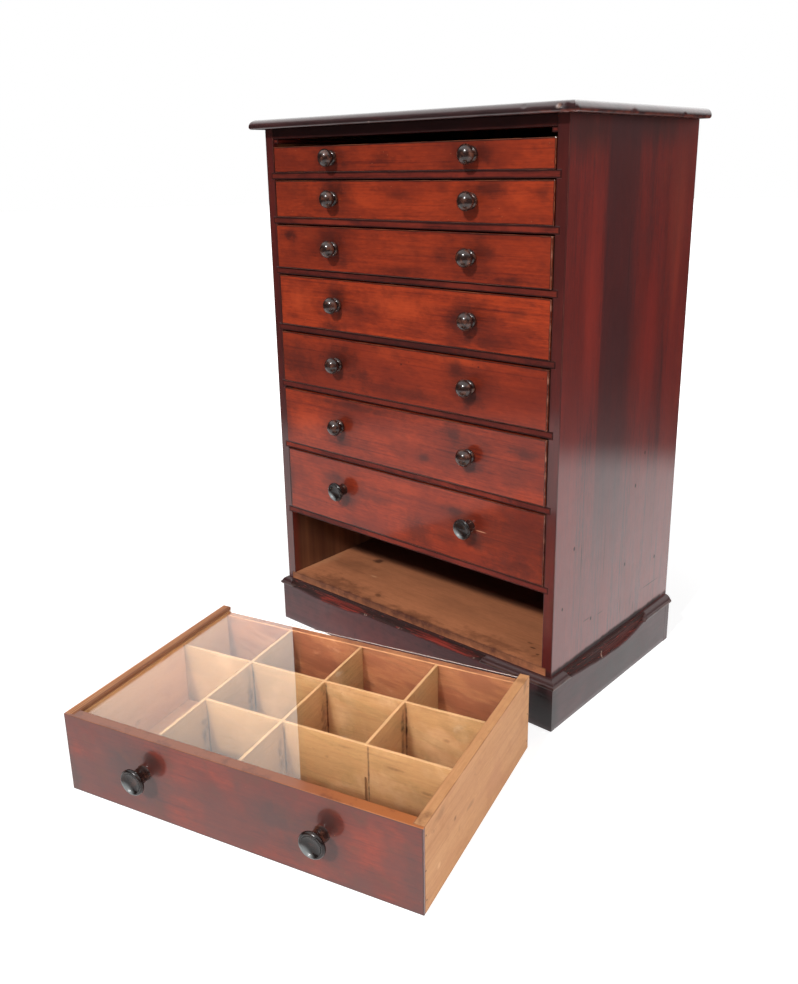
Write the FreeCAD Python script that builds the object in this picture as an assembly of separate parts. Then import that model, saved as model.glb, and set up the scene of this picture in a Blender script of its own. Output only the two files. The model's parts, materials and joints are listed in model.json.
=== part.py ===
import FreeCAD, Part

import math
import os

# Glazed specimen cabinet with eight graduated drawers. Seven drawers are home in the carcase and
# the lowest and deepest one has been lifted out and stands on the ground in front of it.
#
# X runs across the front from left to right, Y goes from the front to the back and Z is up, all in
# millimetres. The model is built with the middle of the carcase's front at X = 0, Y = 0 and the
# ground at Z = 0. At the end it is moved so that the origin lies under the middle of the whole set.

V = FreeCAD.Vector
LEVEL = 1e-6                # two heights closer than this are the same

# Carcase
CARCASE_WIDTH = 400.0
CARCASE_DEPTH = 259.0
SIDE_THICK = 12.2
FLOOR_THICK = 12.0          # board under the lowest drawer
FLOOR_RISE = 6.5            # height of that board's underside above the plinth boards
DUST_THICK = 7.2            # thin boards that carry the drawers
HOUSING = 5.0               # how deep the floor and dust boards are let into the sides
BACK_THICK = 8.0
BACK_LAP = 6.0              # how far the back panel laps into the rebates of the sides
RAIL_HEIGHT = 10.6          # rail under the top board
RAIL_DEPTH = 30.0
KICKER_WIDTH = 7.0          # strips that stop the top drawer from tipping
KICKER_HEIGHT = 5.0
KICKER_SETBACK = 1.5

# Top board
TOP_THICK = 10.0
TOP_OVERHANG = 13.0         # past the front and both sides; the back is flush
TOP_ROUND = 7.0             # radius worked on the upper edge
TOP_NOSE_ROUND = 1.2        # small round under the nose

# Plinth
PLINTH_HEIGHT = 49.0
PLINTH_THICK = 14.0
PLINTH_BACK_THICK = 10.0
PLINTH_STEP = 5.5           # how far the plinth boards stand out from the carcase
MOULD_HEIGHT = 10.0         # moulding planted on the plinth round the foot of the carcase
MOULD_STEP = 2.5            # how far the moulding's nose stands out from the plinth boards
MOULD_LEDGE = 0.6           # width of the moulding's flat top against the carcase

# Old damage: along these stretches the moulding has torn off and taken the edge of the board
# with it. A stretch is given by its two ends, its deepest place and the depth there.
BREAK_ROOT = 2.0            # thickness of wood that is left against the carcase
BREAK_FRONT = (-185.0, -52.0, -115.0, 4.5)   # X of the ends, X of the deepest place, depth
BREAK_FRONT_END = 112.0     # the moulding alone is missing on to here
BREAK_SIDE = (29.0, 192.0, 137.0, 8.5)       # the same along Y, on the right-hand side
BREAK_SLANT = 8.0           # run of the slanting ends

# Drawers, from the top one down
FRONT_HEIGHTS = [27.5, 40.2, 48.2, 57.6, 60.2, 68.3, 77.0, 82.5]
STAND_OUTS = [0.3, 0.3, 2.2, 0.8, 2.0, 2.0, 0.6]    # how far each closed front stands proud
KNOB_HEADS = [19.0, 19.0, 19.0, 19.0, 19.0, 19.0, 22.0, 25.0]    # head diameters
KNOB_RISES = [1.0, 1.0, 1.0, 1.0, 1.0, 1.0, 4.5, 4.5]            # above the middle of the front
DISHED_FROM = 7             # from this drawer down the knobs have dished faces
KNOB_SPREAD = 188.0         # between the two knobs of a drawer
SPIGOT_RADIUS = 3.5         # peg of a knob, glued into the front
SPIGOT_LENGTH = 7.0

# Places on the section of a turned knob, as radius and reach in shares of its head's radius
KNOB_COLLAR_FOOT = (0.72, 0.0)
KNOB_COLLAR = (0.84, 0.24)
KNOB_NECK_START = (0.55, 0.52)
KNOB_NECK_END = (0.55, 0.65)
KNOB_HEAD_BACK = (0.862, 0.788)
KNOB_HEAD_RIM = (1.0, 1.12)
KNOB_DOME_TIP = (0.0, 1.85)
KNOB_LIP_ROUND = (0.98, 1.3)
KNOB_LIP = (0.88, 1.38)
KNOB_DISH_TIP = (0.0, 1.25)

SIDE_GAP = 1.1              # running gap on each side of a drawer
UNDER_GAP = 0.3             # under a drawer
OVER_GAP = 1.4              # over a drawer's front
TOP_GAP = 4.0               # between the top drawer and the kickers
REAR_GAP = 2.0              # behind a closed drawer

FRONT_THICK = 11.0
FACE_THICK = 2.5            # part of the front that covers the ends of the drawer's sides
BOX_SIDE_THICK = 10.0
BOX_BACK_THICK = 8.0
BOX_FLOOR_THICK = 4.0
BOX_FLOOR_RISE = 3.0        # underside of the drawer's bottom above the lower edge of its sides
GROOVE_DEPTH = 4.0          # grooves for the bottom and for the glass
GROOVE_PLAY = 0.15          # gap between a groove's wall and what lies in it
GLASS_THICK = 2.0
GLASS_DEPTH_DOWN = 4.2      # top of the glass below the upper edge of the drawer's sides
BACK_DROP = 1.9             # top of the drawer's back below the glass

# Dividers in every drawer: a grid of thin boards halved into each other
COLUMNS = 4
ROWS = 3
DIVIDER_THICK = 3.0
DIVIDER_DROP = 2.3          # top of the dividers below the glass
SLOT_PLAY = 0.1             # play of a halving joint, in all

# The lifted-out drawer: the place of its left front corner on the ground and its turn
LOOSE_CORNER = (-96.0, -379.0)
LOOSE_TURN = 14.8

# Sizes that follow from the above
HALF_WIDTH = CARCASE_WIDTH / 2
HALF_BAY = HALF_WIDTH - SIDE_THICK
INNER_DEPTH = CARCASE_DEPTH - BACK_THICK
FLOOR_TOP = PLINTH_HEIGHT + FLOOR_RISE + FLOOR_THICK
DRAWER_WIDTH = 2 * (HALF_BAY - SIDE_GAP)
DRAWER_DEPTH = INNER_DEPTH - REAR_GAP
HALF_DRAWER = DRAWER_WIDTH / 2
HALF_INSIDE = HALF_DRAWER - BOX_SIDE_THICK
DRAWER_COUNT = len(FRONT_HEIGHTS)


def box(x0, x1, y0, y1, z0, z1):
    return Part.makeBox(x1 - x0, y1 - y0, z1 - z0, V(x0, y0, z0))


def polygon_prism(points, direction):
    """A closed outline of points, pushed along a direction."""
    wire = Part.makePolygon(points + [points[0]])
    return Part.Face(wire).extrude(direction)


def arc(start, through, end):
    return Part.Arc(start, through, end).toShape()


def line(start, end):
    return Part.makeLine(start, end)


def fused(first, *others):
    return first.multiFuse(list(others)).removeSplitter()


# ---- Heights of the bays ----

def bay_floors():
    """The height of the board under each drawer, from the top drawer down."""
    floors = []
    z = FLOOR_TOP
    for height in reversed(FRONT_HEIGHTS):
        floors.append(z)
        z += UNDER_GAP + height + OVER_GAP + DUST_THICK
    return floors[::-1]


BAY_FLOORS = bay_floors()
KICKER_UNDER = BAY_FLOORS[0] + UNDER_GAP + FRONT_HEIGHTS[0] + TOP_GAP
RAIL_UNDER = KICKER_UNDER + KICKER_HEIGHT
TOP_UNDER = RAIL_UNDER + RAIL_HEIGHT


# ---- Carcase ----

def carcase_side(hand):
    """One side board, with housings for the floor and dust boards and a rebate for the back."""
    inner = HALF_BAY
    board = box(inner, HALF_WIDTH, 0, CARCASE_DEPTH, PLINTH_HEIGHT, TOP_UNDER)
    cuts = [box(inner, inner + BACK_LAP, INNER_DEPTH, CARCASE_DEPTH, PLINTH_HEIGHT, TOP_UNDER)]
    cuts.append(box(inner, inner + HOUSING, 0, INNER_DEPTH, FLOOR_TOP - FLOOR_THICK, FLOOR_TOP))
    for floor in BAY_FLOORS[:-1]:
        cuts.append(box(inner, inner + HOUSING, 0, INNER_DEPTH, floor - DUST_THICK, floor))
    board = board.cut(Part.makeCompound(cuts))
    return board if hand > 0 else board.mirror(V(0, 0, 0), V(1, 0, 0))


def housed_board(top, thick):
    """A board across the carcase, let into both sides."""
    half = HALF_BAY + HOUSING
    return box(-half, half, 0, INNER_DEPTH, top - thick, top)


def dust_boards():
    return Part.makeCompound([housed_board(floor, DUST_THICK) for floor in BAY_FLOORS[:-1]])


def back_panel():
    half = HALF_BAY + BACK_LAP
    return box(-half, half, INNER_DEPTH, CARCASE_DEPTH, PLINTH_HEIGHT, TOP_UNDER)


def top_rail():
    return box(-HALF_BAY, HALF_BAY, 0, RAIL_DEPTH, RAIL_UNDER, TOP_UNDER)


def top_kickers():
    strips = []
    for hand in (-1, 1):
        low, high = sorted((hand * HALF_BAY, hand * (HALF_BAY - KICKER_WIDTH)))
        strips.append(box(low, high, KICKER_SETBACK, INNER_DEPTH, KICKER_UNDER, RAIL_UNDER))
    return Part.makeCompound(strips)


def top_board():
    """The top, with a thumbnail moulding on its front and its ends."""
    half = HALF_WIDTH + TOP_OVERHANG
    board = box(-half, half, -TOP_OVERHANG, CARCASE_DEPTH, TOP_UNDER, TOP_UNDER + TOP_THICK)

    def worked(edge, z):
        middle = edge.BoundBox
        level = abs(middle.ZMin - z) < LEVEL and abs(middle.ZMax - z) < LEVEL
        return level and middle.YMin < CARCASE_DEPTH - LEVEL

    upper = [edge for edge in board.Edges if worked(edge, TOP_UNDER + TOP_THICK)]
    board = board.makeFillet(TOP_ROUND, upper)
    lower = [edge for edge in board.Edges if worked(edge, TOP_UNDER)]
    return board.makeFillet(TOP_NOSE_ROUND, lower)


# ---- Plinth ----

def plan_prism(corners, z0, z1):
    """An upright prism on a plan outline."""
    return polygon_prism([V(x, y, z0) for x, y in corners], V(0, 0, z1 - z0))


def break_outline(stretch, far_end, place):
    """Outline of a torn stretch, seen square on. place() turns a run and a height to a point."""
    start, end, deepest, depth = stretch
    top = PLINTH_HEIGHT + MOULD_HEIGHT
    low = arc(place(start, PLINTH_HEIGHT), place(deepest, PLINTH_HEIGHT - depth),
              place(end, PLINTH_HEIGHT))
    corners = [place(end, PLINTH_HEIGHT)]
    if far_end > end:
        corners.append(place(far_end, PLINTH_HEIGHT))
    corners.append(place(far_end + BREAK_SLANT, top))
    corners.append(place(start - BREAK_SLANT, top))
    corners.append(place(start, PLINTH_HEIGHT))
    edges = [low] + [line(a, b) for a, b in zip(corners, corners[1:])]
    return Part.Face(Part.Wire(edges))


def break_cutters():
    """What tore away at the front and on the right-hand side."""
    reach = PLINTH_STEP + MOULD_STEP
    front = break_outline(BREAK_FRONT, BREAK_FRONT_END, lambda run, z: V(run, -BREAK_ROOT, z))
    front = front.extrude(V(0, -reach, 0))
    x = HALF_WIDTH + BREAK_ROOT
    side = break_outline(BREAK_SIDE, BREAK_SIDE[1], lambda run, z: V(x, run, z))
    return [front, side.extrude(V(reach, 0, 0))]


def torn(shape):
    """A plinth piece less what tore away."""
    return shape.cut(Part.makeCompound(break_cutters()))


def plinth_front():
    out = HALF_WIDTH + PLINTH_STEP
    inner = out - PLINTH_THICK
    back = PLINTH_THICK - PLINTH_STEP
    corners = [(-out, -PLINTH_STEP), (out, -PLINTH_STEP), (inner, back), (-inner, back)]
    return torn(plan_prism(corners, 0, PLINTH_HEIGHT))


def plinth_side(hand):
    """A side board of the plinth, mitred to the front one and butted against the back one."""
    out = HALF_WIDTH + PLINTH_STEP
    inner = out - PLINTH_THICK
    end = CARCASE_DEPTH - PLINTH_BACK_THICK
    corners = [(out, -PLINTH_STEP), (out, end), (inner, end), (inner, PLINTH_THICK - PLINTH_STEP)]
    corners = [(hand * x, y) for x, y in corners]
    return torn(plan_prism(corners, 0, PLINTH_HEIGHT))


def plinth_back():
    out = HALF_WIDTH + PLINTH_STEP
    return box(-out, out, CARCASE_DEPTH - PLINTH_BACK_THICK, CARCASE_DEPTH, 0, PLINTH_HEIGHT)


def moulding_face(place):
    """Section of the moulding: a bead with an ovolo above it. place() sets reach and height."""
    foot = PLINTH_STEP
    nose = PLINTH_STEP + MOULD_STEP
    bead = MOULD_HEIGHT * 0.5

    def at(reach, rise):
        return place(reach, PLINTH_HEIGHT + rise)

    edges = [
        line(at(0, 0), at(foot, 0)),
        arc(at(foot, 0), at(nose, bead * 0.6), at(foot + MOULD_STEP * 0.3, bead)),
        arc(at(foot + MOULD_STEP * 0.3, bead), at(nose * 0.55, MOULD_HEIGHT * 0.8),
            at(MOULD_LEDGE, MOULD_HEIGHT)),
        line(at(MOULD_LEDGE, MOULD_HEIGHT), at(0, MOULD_HEIGHT)),
        line(at(0, MOULD_HEIGHT), at(0, 0)),
    ]
    return Part.Face(Part.Wire(edges))


def plinth_moulding():
    """Three lengths of moulding, mitred at the front corners."""
    nose = PLINTH_STEP + MOULD_STEP
    out = HALF_WIDTH + nose
    z0, z1 = PLINTH_HEIGHT, PLINTH_HEIGHT + MOULD_HEIGHT
    front = moulding_face(lambda reach, z: V(-out, -reach, z)).extrude(V(2 * out, 0, 0))
    mitre = plan_prism([(-out, -nose), (out, -nose), (HALF_WIDTH, 0), (-HALF_WIDTH, 0)], z0, z1)
    lengths = [torn(front.common(mitre))]
    for hand in (-1, 1):
        side = moulding_face(lambda reach, z: V(hand * (HALF_WIDTH + reach), -nose, z))
        side = side.extrude(V(0, nose + CARCASE_DEPTH, 0))
        corners = [(HALF_WIDTH, 0), (out, -nose), (out, CARCASE_DEPTH), (HALF_WIDTH, CARCASE_DEPTH)]
        side = side.common(plan_prism([(hand * x, y) for x, y in corners], z0, z1))
        lengths.append(torn(side))
    return Part.makeCompound(lengths)


# ---- Drawers ----
# Each drawer is built with the middle of its front's foot at the origin.

def glass_span(height):
    """Lower and upper face of a drawer's glass."""
    top = height - GLASS_DEPTH_DOWN
    return top - GLASS_THICK, top


def inner_grooves(height):
    """The heights of the two grooves round the inside of a drawer: for its bottom and its glass."""
    low, high = glass_span(height)
    floor = BOX_FLOOR_RISE, BOX_FLOOR_RISE + BOX_FLOOR_THICK
    return [(z0 - GROOVE_PLAY, z1 + GROOVE_PLAY) for z0, z1 in (floor, (low, high))]


def knob_height(index):
    return FRONT_HEIGHTS[index] / 2 + KNOB_RISES[index]


def drawer_front(index):
    """The front: its face covers the ends of the sides, and its thick part goes between them."""
    height = FRONT_HEIGHTS[index]
    face = box(-HALF_DRAWER, HALF_DRAWER, 0, FACE_THICK, 0, height)
    board = fused(face, box(-HALF_INSIDE, HALF_INSIDE, 0, FRONT_THICK, 0, height))
    cuts = []
    for z0, z1 in inner_grooves(height):
        cuts.append(box(-HALF_INSIDE, HALF_INSIDE, FRONT_THICK - GROOVE_DEPTH, FRONT_THICK, z0, z1))
    for hand in (-1, 1):
        place = V(hand * KNOB_SPREAD / 2, 0, knob_height(index))
        radius = SPIGOT_RADIUS + GROOVE_PLAY
        cuts.append(Part.makeCylinder(radius, SPIGOT_LENGTH + GROOVE_PLAY, place, V(0, 1, 0)))
    return board.cut(Part.makeCompound(cuts))


def drawer_side(index, hand):
    """A drawer side, grooved on the inside and nailed to the front."""
    height = FRONT_HEIGHTS[index]
    board = box(HALF_INSIDE, HALF_DRAWER, FACE_THICK, DRAWER_DEPTH, 0, height)
    start = FRONT_THICK - GROOVE_DEPTH
    cuts = [box(HALF_INSIDE, HALF_INSIDE + GROOVE_DEPTH, start, DRAWER_DEPTH, z0, z1)
            for z0, z1 in inner_grooves(height)]
    board = board.cut(Part.makeCompound(cuts))
    return board if hand > 0 else board.mirror(V(0, 0, 0), V(1, 0, 0))


def drawer_back(index):
    """The back, which stands on the bottom and stays under the glass so that it can slide out."""
    top = glass_span(FRONT_HEIGHTS[index])[0] - BACK_DROP
    return box(-HALF_INSIDE, HALF_INSIDE, DRAWER_DEPTH - BOX_BACK_THICK, DRAWER_DEPTH,
               BOX_FLOOR_RISE + BOX_FLOOR_THICK, top)


def grooved_sheet(z0, z1):
    """A sheet that lies in a groove of both sides and of the front: the bottom or the glass."""
    half = HALF_INSIDE + GROOVE_DEPTH - GROOVE_PLAY
    return box(-half, half, FRONT_THICK - GROOVE_DEPTH + GROOVE_PLAY, DRAWER_DEPTH, z0, z1)


def drawer_bottom():
    return grooved_sheet(BOX_FLOOR_RISE, BOX_FLOOR_RISE + BOX_FLOOR_THICK)


def drawer_glass(index):
    return grooved_sheet(*glass_span(FRONT_HEIGHTS[index]))


def half_way(rim, tip):
    """The point half way in on a ball-shaped cap that starts at a rim and closes at a tip."""
    r, reach = rim
    rise = tip[1] - reach
    ball = (r * r + rise * rise) / (2 * rise)
    inner = r / 2
    return inner, tip[1] - ball + ball * math.sqrt(1 - (inner / ball) ** 2)


def knob_profile(radius, dished):
    """Half section of a turned knob: peg, round collar, neck and head. Reach is towards -Y."""

    def at(place):
        return V(place[0] * radius, -place[1] * radius, 0)

    foot = at(KNOB_COLLAR_FOOT)
    rim = KNOB_LIP if dished else KNOB_HEAD_RIM
    tip = KNOB_DISH_TIP if dished else KNOB_DOME_TIP
    peg_end = V(0, SPIGOT_LENGTH, 0)
    peg_rim = V(SPIGOT_RADIUS, SPIGOT_LENGTH, 0)
    peg_root = V(SPIGOT_RADIUS, 0, 0)
    edges = [
        line(peg_end, peg_rim),
        line(peg_rim, peg_root),
        line(peg_root, foot),
        arc(foot, at(KNOB_COLLAR), at(KNOB_NECK_START)),
        line(at(KNOB_NECK_START), at(KNOB_NECK_END)),
        arc(at(KNOB_NECK_END), at(KNOB_HEAD_BACK), at(KNOB_HEAD_RIM)),
    ]
    if dished:
        edges.append(arc(at(KNOB_HEAD_RIM), at(KNOB_LIP_ROUND), at(KNOB_LIP)))
    edges.append(arc(at(rim), at(half_way(rim, tip)), at(tip)))
    edges.append(line(at(tip), peg_end))
    return Part.Face(Part.Wire(edges))


def drawer_knobs(index):
    """Two turned knobs."""
    dished = index + 1 >= DISHED_FROM
    knob = knob_profile(KNOB_HEADS[index] / 2, dished).revolve(V(0, 0, 0), V(0, 1, 0), 360)
    pair = []
    for hand in (-1, 1):
        one = knob.copy()
        one.translate(V(hand * KNOB_SPREAD / 2, 0, knob_height(index)))
        pair.append(one)
    return Part.makeCompound(pair)


def grid_lines(low, high, count):
    """The middles of the dividers that part a span into equal cells."""
    cell = (high - low - (count - 1) * DIVIDER_THICK) / count
    return [low + (k + 1) * cell + (k + 0.5) * DIVIDER_THICK for k in range(count - 1)]


INSIDE_FRONT = FRONT_THICK
INSIDE_BACK = DRAWER_DEPTH - BOX_BACK_THICK
CROSS_LINES = grid_lines(-HALF_INSIDE, HALF_INSIDE, COLUMNS)   # X of the boards from front to back
LONG_LINES = grid_lines(INSIDE_FRONT, INSIDE_BACK, ROWS)       # Y of the boards from side to side


def divider_span(index):
    """Lower edge, upper edge and the height where two halved dividers meet."""
    low = BOX_FLOOR_RISE + BOX_FLOOR_THICK
    high = glass_span(FRONT_HEIGHTS[index])[0] - DIVIDER_DROP
    return low, high, (low + high) / 2


def halving(x, y, z0, z1):
    """The slot of one halving joint, square on plan."""
    half = (DIVIDER_THICK + SLOT_PLAY) / 2
    return box(x - half, x + half, y - half, y + half, z0, z1)


def long_divider(index, y_middle, x_start=-HALF_INSIDE):
    """A divider from side to side, slotted from below where cross dividers pass."""
    low, high, meet = divider_span(index)
    half = DIVIDER_THICK / 2
    board = box(x_start, HALF_INSIDE, y_middle - half, y_middle + half, low, high)
    slots = [halving(x, y_middle, low, meet) for x in CROSS_LINES if x > x_start + DIVIDER_THICK]
    return board.cut(Part.makeCompound(slots))


def cross_divider(index, x_middle, y_start=INSIDE_FRONT, passed=LONG_LINES):
    """A divider from front to back, slotted from above where long dividers pass."""
    low, high, meet = divider_span(index)
    half = DIVIDER_THICK / 2
    board = box(x_middle - half, x_middle + half, y_start, INSIDE_BACK, low, high)
    return board.cut(Part.makeCompound([halving(x_middle, y, meet, high) for y in passed]))


def closed_drawer(index):
    """The sub-parts of a drawer that is home in the carcase."""
    name = f"drawer_{index + 1}"
    sides = [drawer_side(index, hand) for hand in (-1, 1)]
    dividers = [long_divider(index, y) for y in LONG_LINES]
    dividers += [cross_divider(index, x) for x in CROSS_LINES]
    parts = {
        f"{name}_front": drawer_front(index),
        f"{name}_box": Part.makeCompound(sides + [drawer_back(index), drawer_bottom()]),
        f"{name}_dividers": Part.makeCompound(dividers),
        f"{name}_glass": drawer_glass(index),
        f"{name}_knobs": drawer_knobs(index),
    }
    place = V(0, -STAND_OUTS[index], BAY_FLOORS[index] + UNDER_GAP)
    for shape in parts.values():
        shape.translate(place)
    return parts


def loose_drawer():
    """The sub-parts of the lifted-out drawer. Two pieces of its grid are lost: the left-hand end
    of the front long divider and the front end of the right-hand cross divider, whose empty slot
    shows in the long divider."""
    index = DRAWER_COUNT - 1
    name = f"drawer_{DRAWER_COUNT}"
    half = DIVIDER_THICK / 2
    front_line, *rear_lines = LONG_LINES
    left, *middle, right = CROSS_LINES
    parts = {
        f"{name}_front": drawer_front(index),
        f"{name}_side_left": drawer_side(index, -1),
        f"{name}_side_right": drawer_side(index, 1),
        f"{name}_back": drawer_back(index),
        f"{name}_bottom": drawer_bottom(),
        f"{name}_glass": drawer_glass(index),
        f"{name}_knobs": drawer_knobs(index),
        f"{name}_long_divider_rear": Part.makeCompound([long_divider(index, y) for y in rear_lines]),
        f"{name}_long_divider_front": long_divider(index, front_line, left + half),
        f"{name}_cross_divider_left": cross_divider(index, left, INSIDE_FRONT, rear_lines),
        f"{name}_cross_divider_middle": Part.makeCompound([cross_divider(index, x) for x in middle]),
        f"{name}_cross_divider_right": cross_divider(index, right, front_line + half, rear_lines),
    }
    turn = FreeCAD.Rotation(V(0, 0, 1), LOOSE_TURN)
    corner = turn.multVec(V(-HALF_DRAWER, 0, 0))
    place = FreeCAD.Placement(V(*LOOSE_CORNER, 0) - corner, turn)
    for shape in parts.values():
        shape.Placement = place.multiply(shape.Placement)
    return parts


def carcase():
    return {
        "top_board": top_board(),
        "side_left": carcase_side(-1),
        "side_right": carcase_side(1),
        "back_panel": back_panel(),
        "bottom_board": housed_board(FLOOR_TOP, FLOOR_THICK),
        "dust_boards": dust_boards(),
        "top_rail": top_rail(),
        "top_kickers": top_kickers(),
        "plinth_front": plinth_front(),
        "plinth_left": plinth_side(-1),
        "plinth_right": plinth_side(1),
        "plinth_back": plinth_back(),
        "plinth_moulding": plinth_moulding(),
    }


def main():
    parts = carcase()
    for index in range(DRAWER_COUNT - 1):
        parts.update(closed_drawer(index))
    parts.update(loose_drawer())

    whole = Part.makeCompound(list(parts.values())).optimalBoundingBox(True, False)
    origin = V((whole.XMin + whole.XMax) / 2, (whole.YMin + whole.YMax) / 2, 0)
    os.makedirs("parts", exist_ok=True)
    for name, shape in parts.items():
        shape.translate(-origin)
        shape.exportStep(f"parts/{name}.step")
        print(f"{name}: {len(shape.Solids)} solids, {shape.Volume / 1000:.1f} cm3, {shape.isValid()}")
    print(f"{len(parts)} sub-parts; carcase front middle at {-origin.x:.3f}, {-origin.y:.3f}")
    print(f"whole {whole.XLength:.1f} x {whole.YLength:.1f} x {whole.ZLength:.1f}; "
          f"top {TOP_UNDER + TOP_THICK:.1f}; drawers {DRAWER_WIDTH:.1f} x {DRAWER_DEPTH:.1f}")
    print("bay floors " + ", ".join(f"{z:.1f}" for z in BAY_FLOORS))


main()
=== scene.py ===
import cmath
import json
import math
import random
from functools import cache, cached_property

import bmesh
import bpy
from mathutils import Matrix, Vector, noise


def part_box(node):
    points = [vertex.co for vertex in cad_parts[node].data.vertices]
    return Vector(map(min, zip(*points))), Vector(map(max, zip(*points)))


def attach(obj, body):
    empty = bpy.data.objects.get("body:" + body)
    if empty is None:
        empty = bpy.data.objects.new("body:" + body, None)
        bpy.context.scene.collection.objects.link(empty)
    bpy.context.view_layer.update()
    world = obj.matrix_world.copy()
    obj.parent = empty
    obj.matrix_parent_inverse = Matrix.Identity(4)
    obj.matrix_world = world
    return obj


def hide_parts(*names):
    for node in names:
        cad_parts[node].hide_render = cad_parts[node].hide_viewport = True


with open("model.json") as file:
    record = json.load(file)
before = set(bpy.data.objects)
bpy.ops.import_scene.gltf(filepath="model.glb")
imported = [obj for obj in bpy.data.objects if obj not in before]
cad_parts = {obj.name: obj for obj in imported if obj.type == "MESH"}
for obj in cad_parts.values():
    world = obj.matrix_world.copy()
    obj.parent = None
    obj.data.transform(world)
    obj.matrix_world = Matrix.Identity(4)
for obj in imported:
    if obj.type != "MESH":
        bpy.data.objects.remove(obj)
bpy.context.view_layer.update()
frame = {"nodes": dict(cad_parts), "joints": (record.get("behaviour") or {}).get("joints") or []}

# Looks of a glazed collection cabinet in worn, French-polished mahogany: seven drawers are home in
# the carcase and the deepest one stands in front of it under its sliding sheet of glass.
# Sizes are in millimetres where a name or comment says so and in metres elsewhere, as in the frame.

bl_info = {
    "name": "Collection cabinet looks",
    "version": (1, 0, 0),
    "blender": (4, 5, 0),
    "location": "View3D > Sidebar > Cabinet",
    "description": "Dresses a glazed collection cabinet in worn, French-polished mahogany",
    "category": "Object",
}

MM = 0.001
DRAWERS = 8
LOOSE = f"drawer_{DRAWERS}"
THIRDS = ("left", "middle", "right")    # the loose grid's boards that run front to back
DISHED_FROM = 7             # from this drawer down the knobs have dished faces

# ---- Places taken from the frame ----

LEFT_SIDE, RIGHT_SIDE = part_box("side_left"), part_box("side_right")
MIDDLE_X = (LEFT_SIDE[0].x + RIGHT_SIDE[1].x) / 2
FRONT_Y = LEFT_SIDE[0].y
HALF_WIDTH = (RIGHT_SIDE[1].x - LEFT_SIDE[0].x) / 2 / MM
DEPTH = (LEFT_SIDE[1].y - FRONT_Y) / MM
CABINET = Matrix.Translation((MIDDLE_X, FRONT_Y, 0))


def at(x, y, z):
    """A place in the cabinet's own millimetres: from the middle of its front, on the ground."""
    return CABINET @ (Vector((x, y, z)) * MM)


def corners(places):
    """Lowest and highest corner of the box round some places."""
    return [Vector([pick(p[k] for p in places) for k in range(3)]) for pick in (min, max)]


def own_box(node, place):
    """Lowest and highest corner of a node in a frame of its own."""
    back = place.inverted()
    return corners([back @ v.co for v in frame["nodes"][node].data.vertices])


def drawer_frame(number):
    """The frame of a drawer: the middle of its front's foot, turned as the drawer stands."""
    turn = Matrix()
    if number == DRAWERS:
        axis = next(j["axis"] for j in frame["joints"] if j["name"] == f"{LOOSE}_glass_slide")
        turn = Matrix.Rotation(math.atan2(-axis[0], axis[1]), 4, "Z")
        low, high = own_box(f"{LOOSE}_front", turn)
    else:
        low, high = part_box(f"drawer_{number}_front")
    return turn @ Matrix.Translation(((low.x + high.x) / 2, low.y, low.z))


def crossings():
    """How far each board of the loose grid that runs front to back stands from the middle, mm."""
    boxes = [own_box(f"{LOOSE}_cross_divider_{part}", drawer_frame(DRAWERS)) for part in THIRDS]
    return [(low.x + high.x) / 2 / MM for low, high in boxes]


def shade(text):
    """A linear colour from the six digits of a screen colour."""
    channels = [int(text[k:k + 2], 16) / 255 for k in (0, 2, 4)]
    return [c / 12.92 if c < 0.04045 else ((c + 0.055) / 1.055) ** 2.4 for c in channels]


# ---- What a user may change ----

def colour_setting(name, description, text):
    return bpy.props.FloatVectorProperty(name=name, description=description, size=3, min=0, max=1,
                                         subtype="COLOR", default=shade(text))


def length_setting(name, description, millimetres):
    return bpy.props.FloatProperty(name=name, description=description, min=0, subtype="DISTANCE",
                                   unit="LENGTH", default=millimetres * MM)


def share_setting(name, description, share):
    return bpy.props.FloatProperty(name=name, description=description, min=0, max=1,
                                   subtype="FACTOR", default=share)


class CabinetFinish(bpy.types.PropertyGroup):
    front_red: colour_setting("Front red", "Bright figure of the drawer fronts", "A03717")
    front_brown: colour_setting("Front brown", "Darker figure of the drawer fronts", "601D11")
    front_smudge: colour_setting("Hand marks", "Dark wear round the knobs", "281110")
    side_red: colour_setting("Side red", "Red figure of the carcase sides", "6A201A")
    side_dark: colour_setting("Side streaks", "Nearly black figure of the sides", "381A1B")
    rail_brown: colour_setting("Rails", "Edges of the boards between drawers", "64221A")
    top_dark: colour_setting("Top", "The darkened top board", "3C2021")
    plinth_brown: colour_setting("Plinth", "The darkened plinth", "46282A")
    torn_red: colour_setting("Torn wood", "Raw wood where the moulding tore off", "7E2A20")
    pine: colour_setting("Pine", "Bare board in the open bay", "B2704C")
    drawer_tan: colour_setting("Drawer sides", "Bare wood of the drawer boxes", "CC9668")
    drawer_red: colour_setting("Drawer backs", "Redder wood inside the drawers", "9A6442")
    divider_tan: colour_setting("Dividers", "Thin boards of the grids", "AC8054")
    # The dividers' upper faces are paler: partly clean planed wood, partly a painted highlight where the
    # light from above falls.
    divider_edge: colour_setting("Divider edges", "Clean upper edges of the dividers", "D2A478")
    bare_edge: colour_setting("Worn arris", "Edges where the polish has worn off", "A8603C")
    ebony: colour_setting("Knobs", "Ebonised knobs", "241613")
    wear: share_setting("Wear", "How far the polish has worn off the edges", 0.75)


class CabinetDetail(bpy.types.PropertyGroup):
    arris: length_setting("Arris", "Softening of the boards' edges", 0.5)
    thin_arris: length_setting("Divider arris", "Softening of the dividers' edges", 0.25)
    nail: length_setting("Nail", "Radius of the nail heads in the drawer sides", 0.9)
    splinters: bpy.props.IntProperty(name="Splinters", description="Splinters on the torn plinth",
                                     min=0, default=160)
    knob_steps: bpy.props.IntProperty(name="Knob steps", description="Flats round a turned knob",
                                      min=12, default=56)


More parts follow.
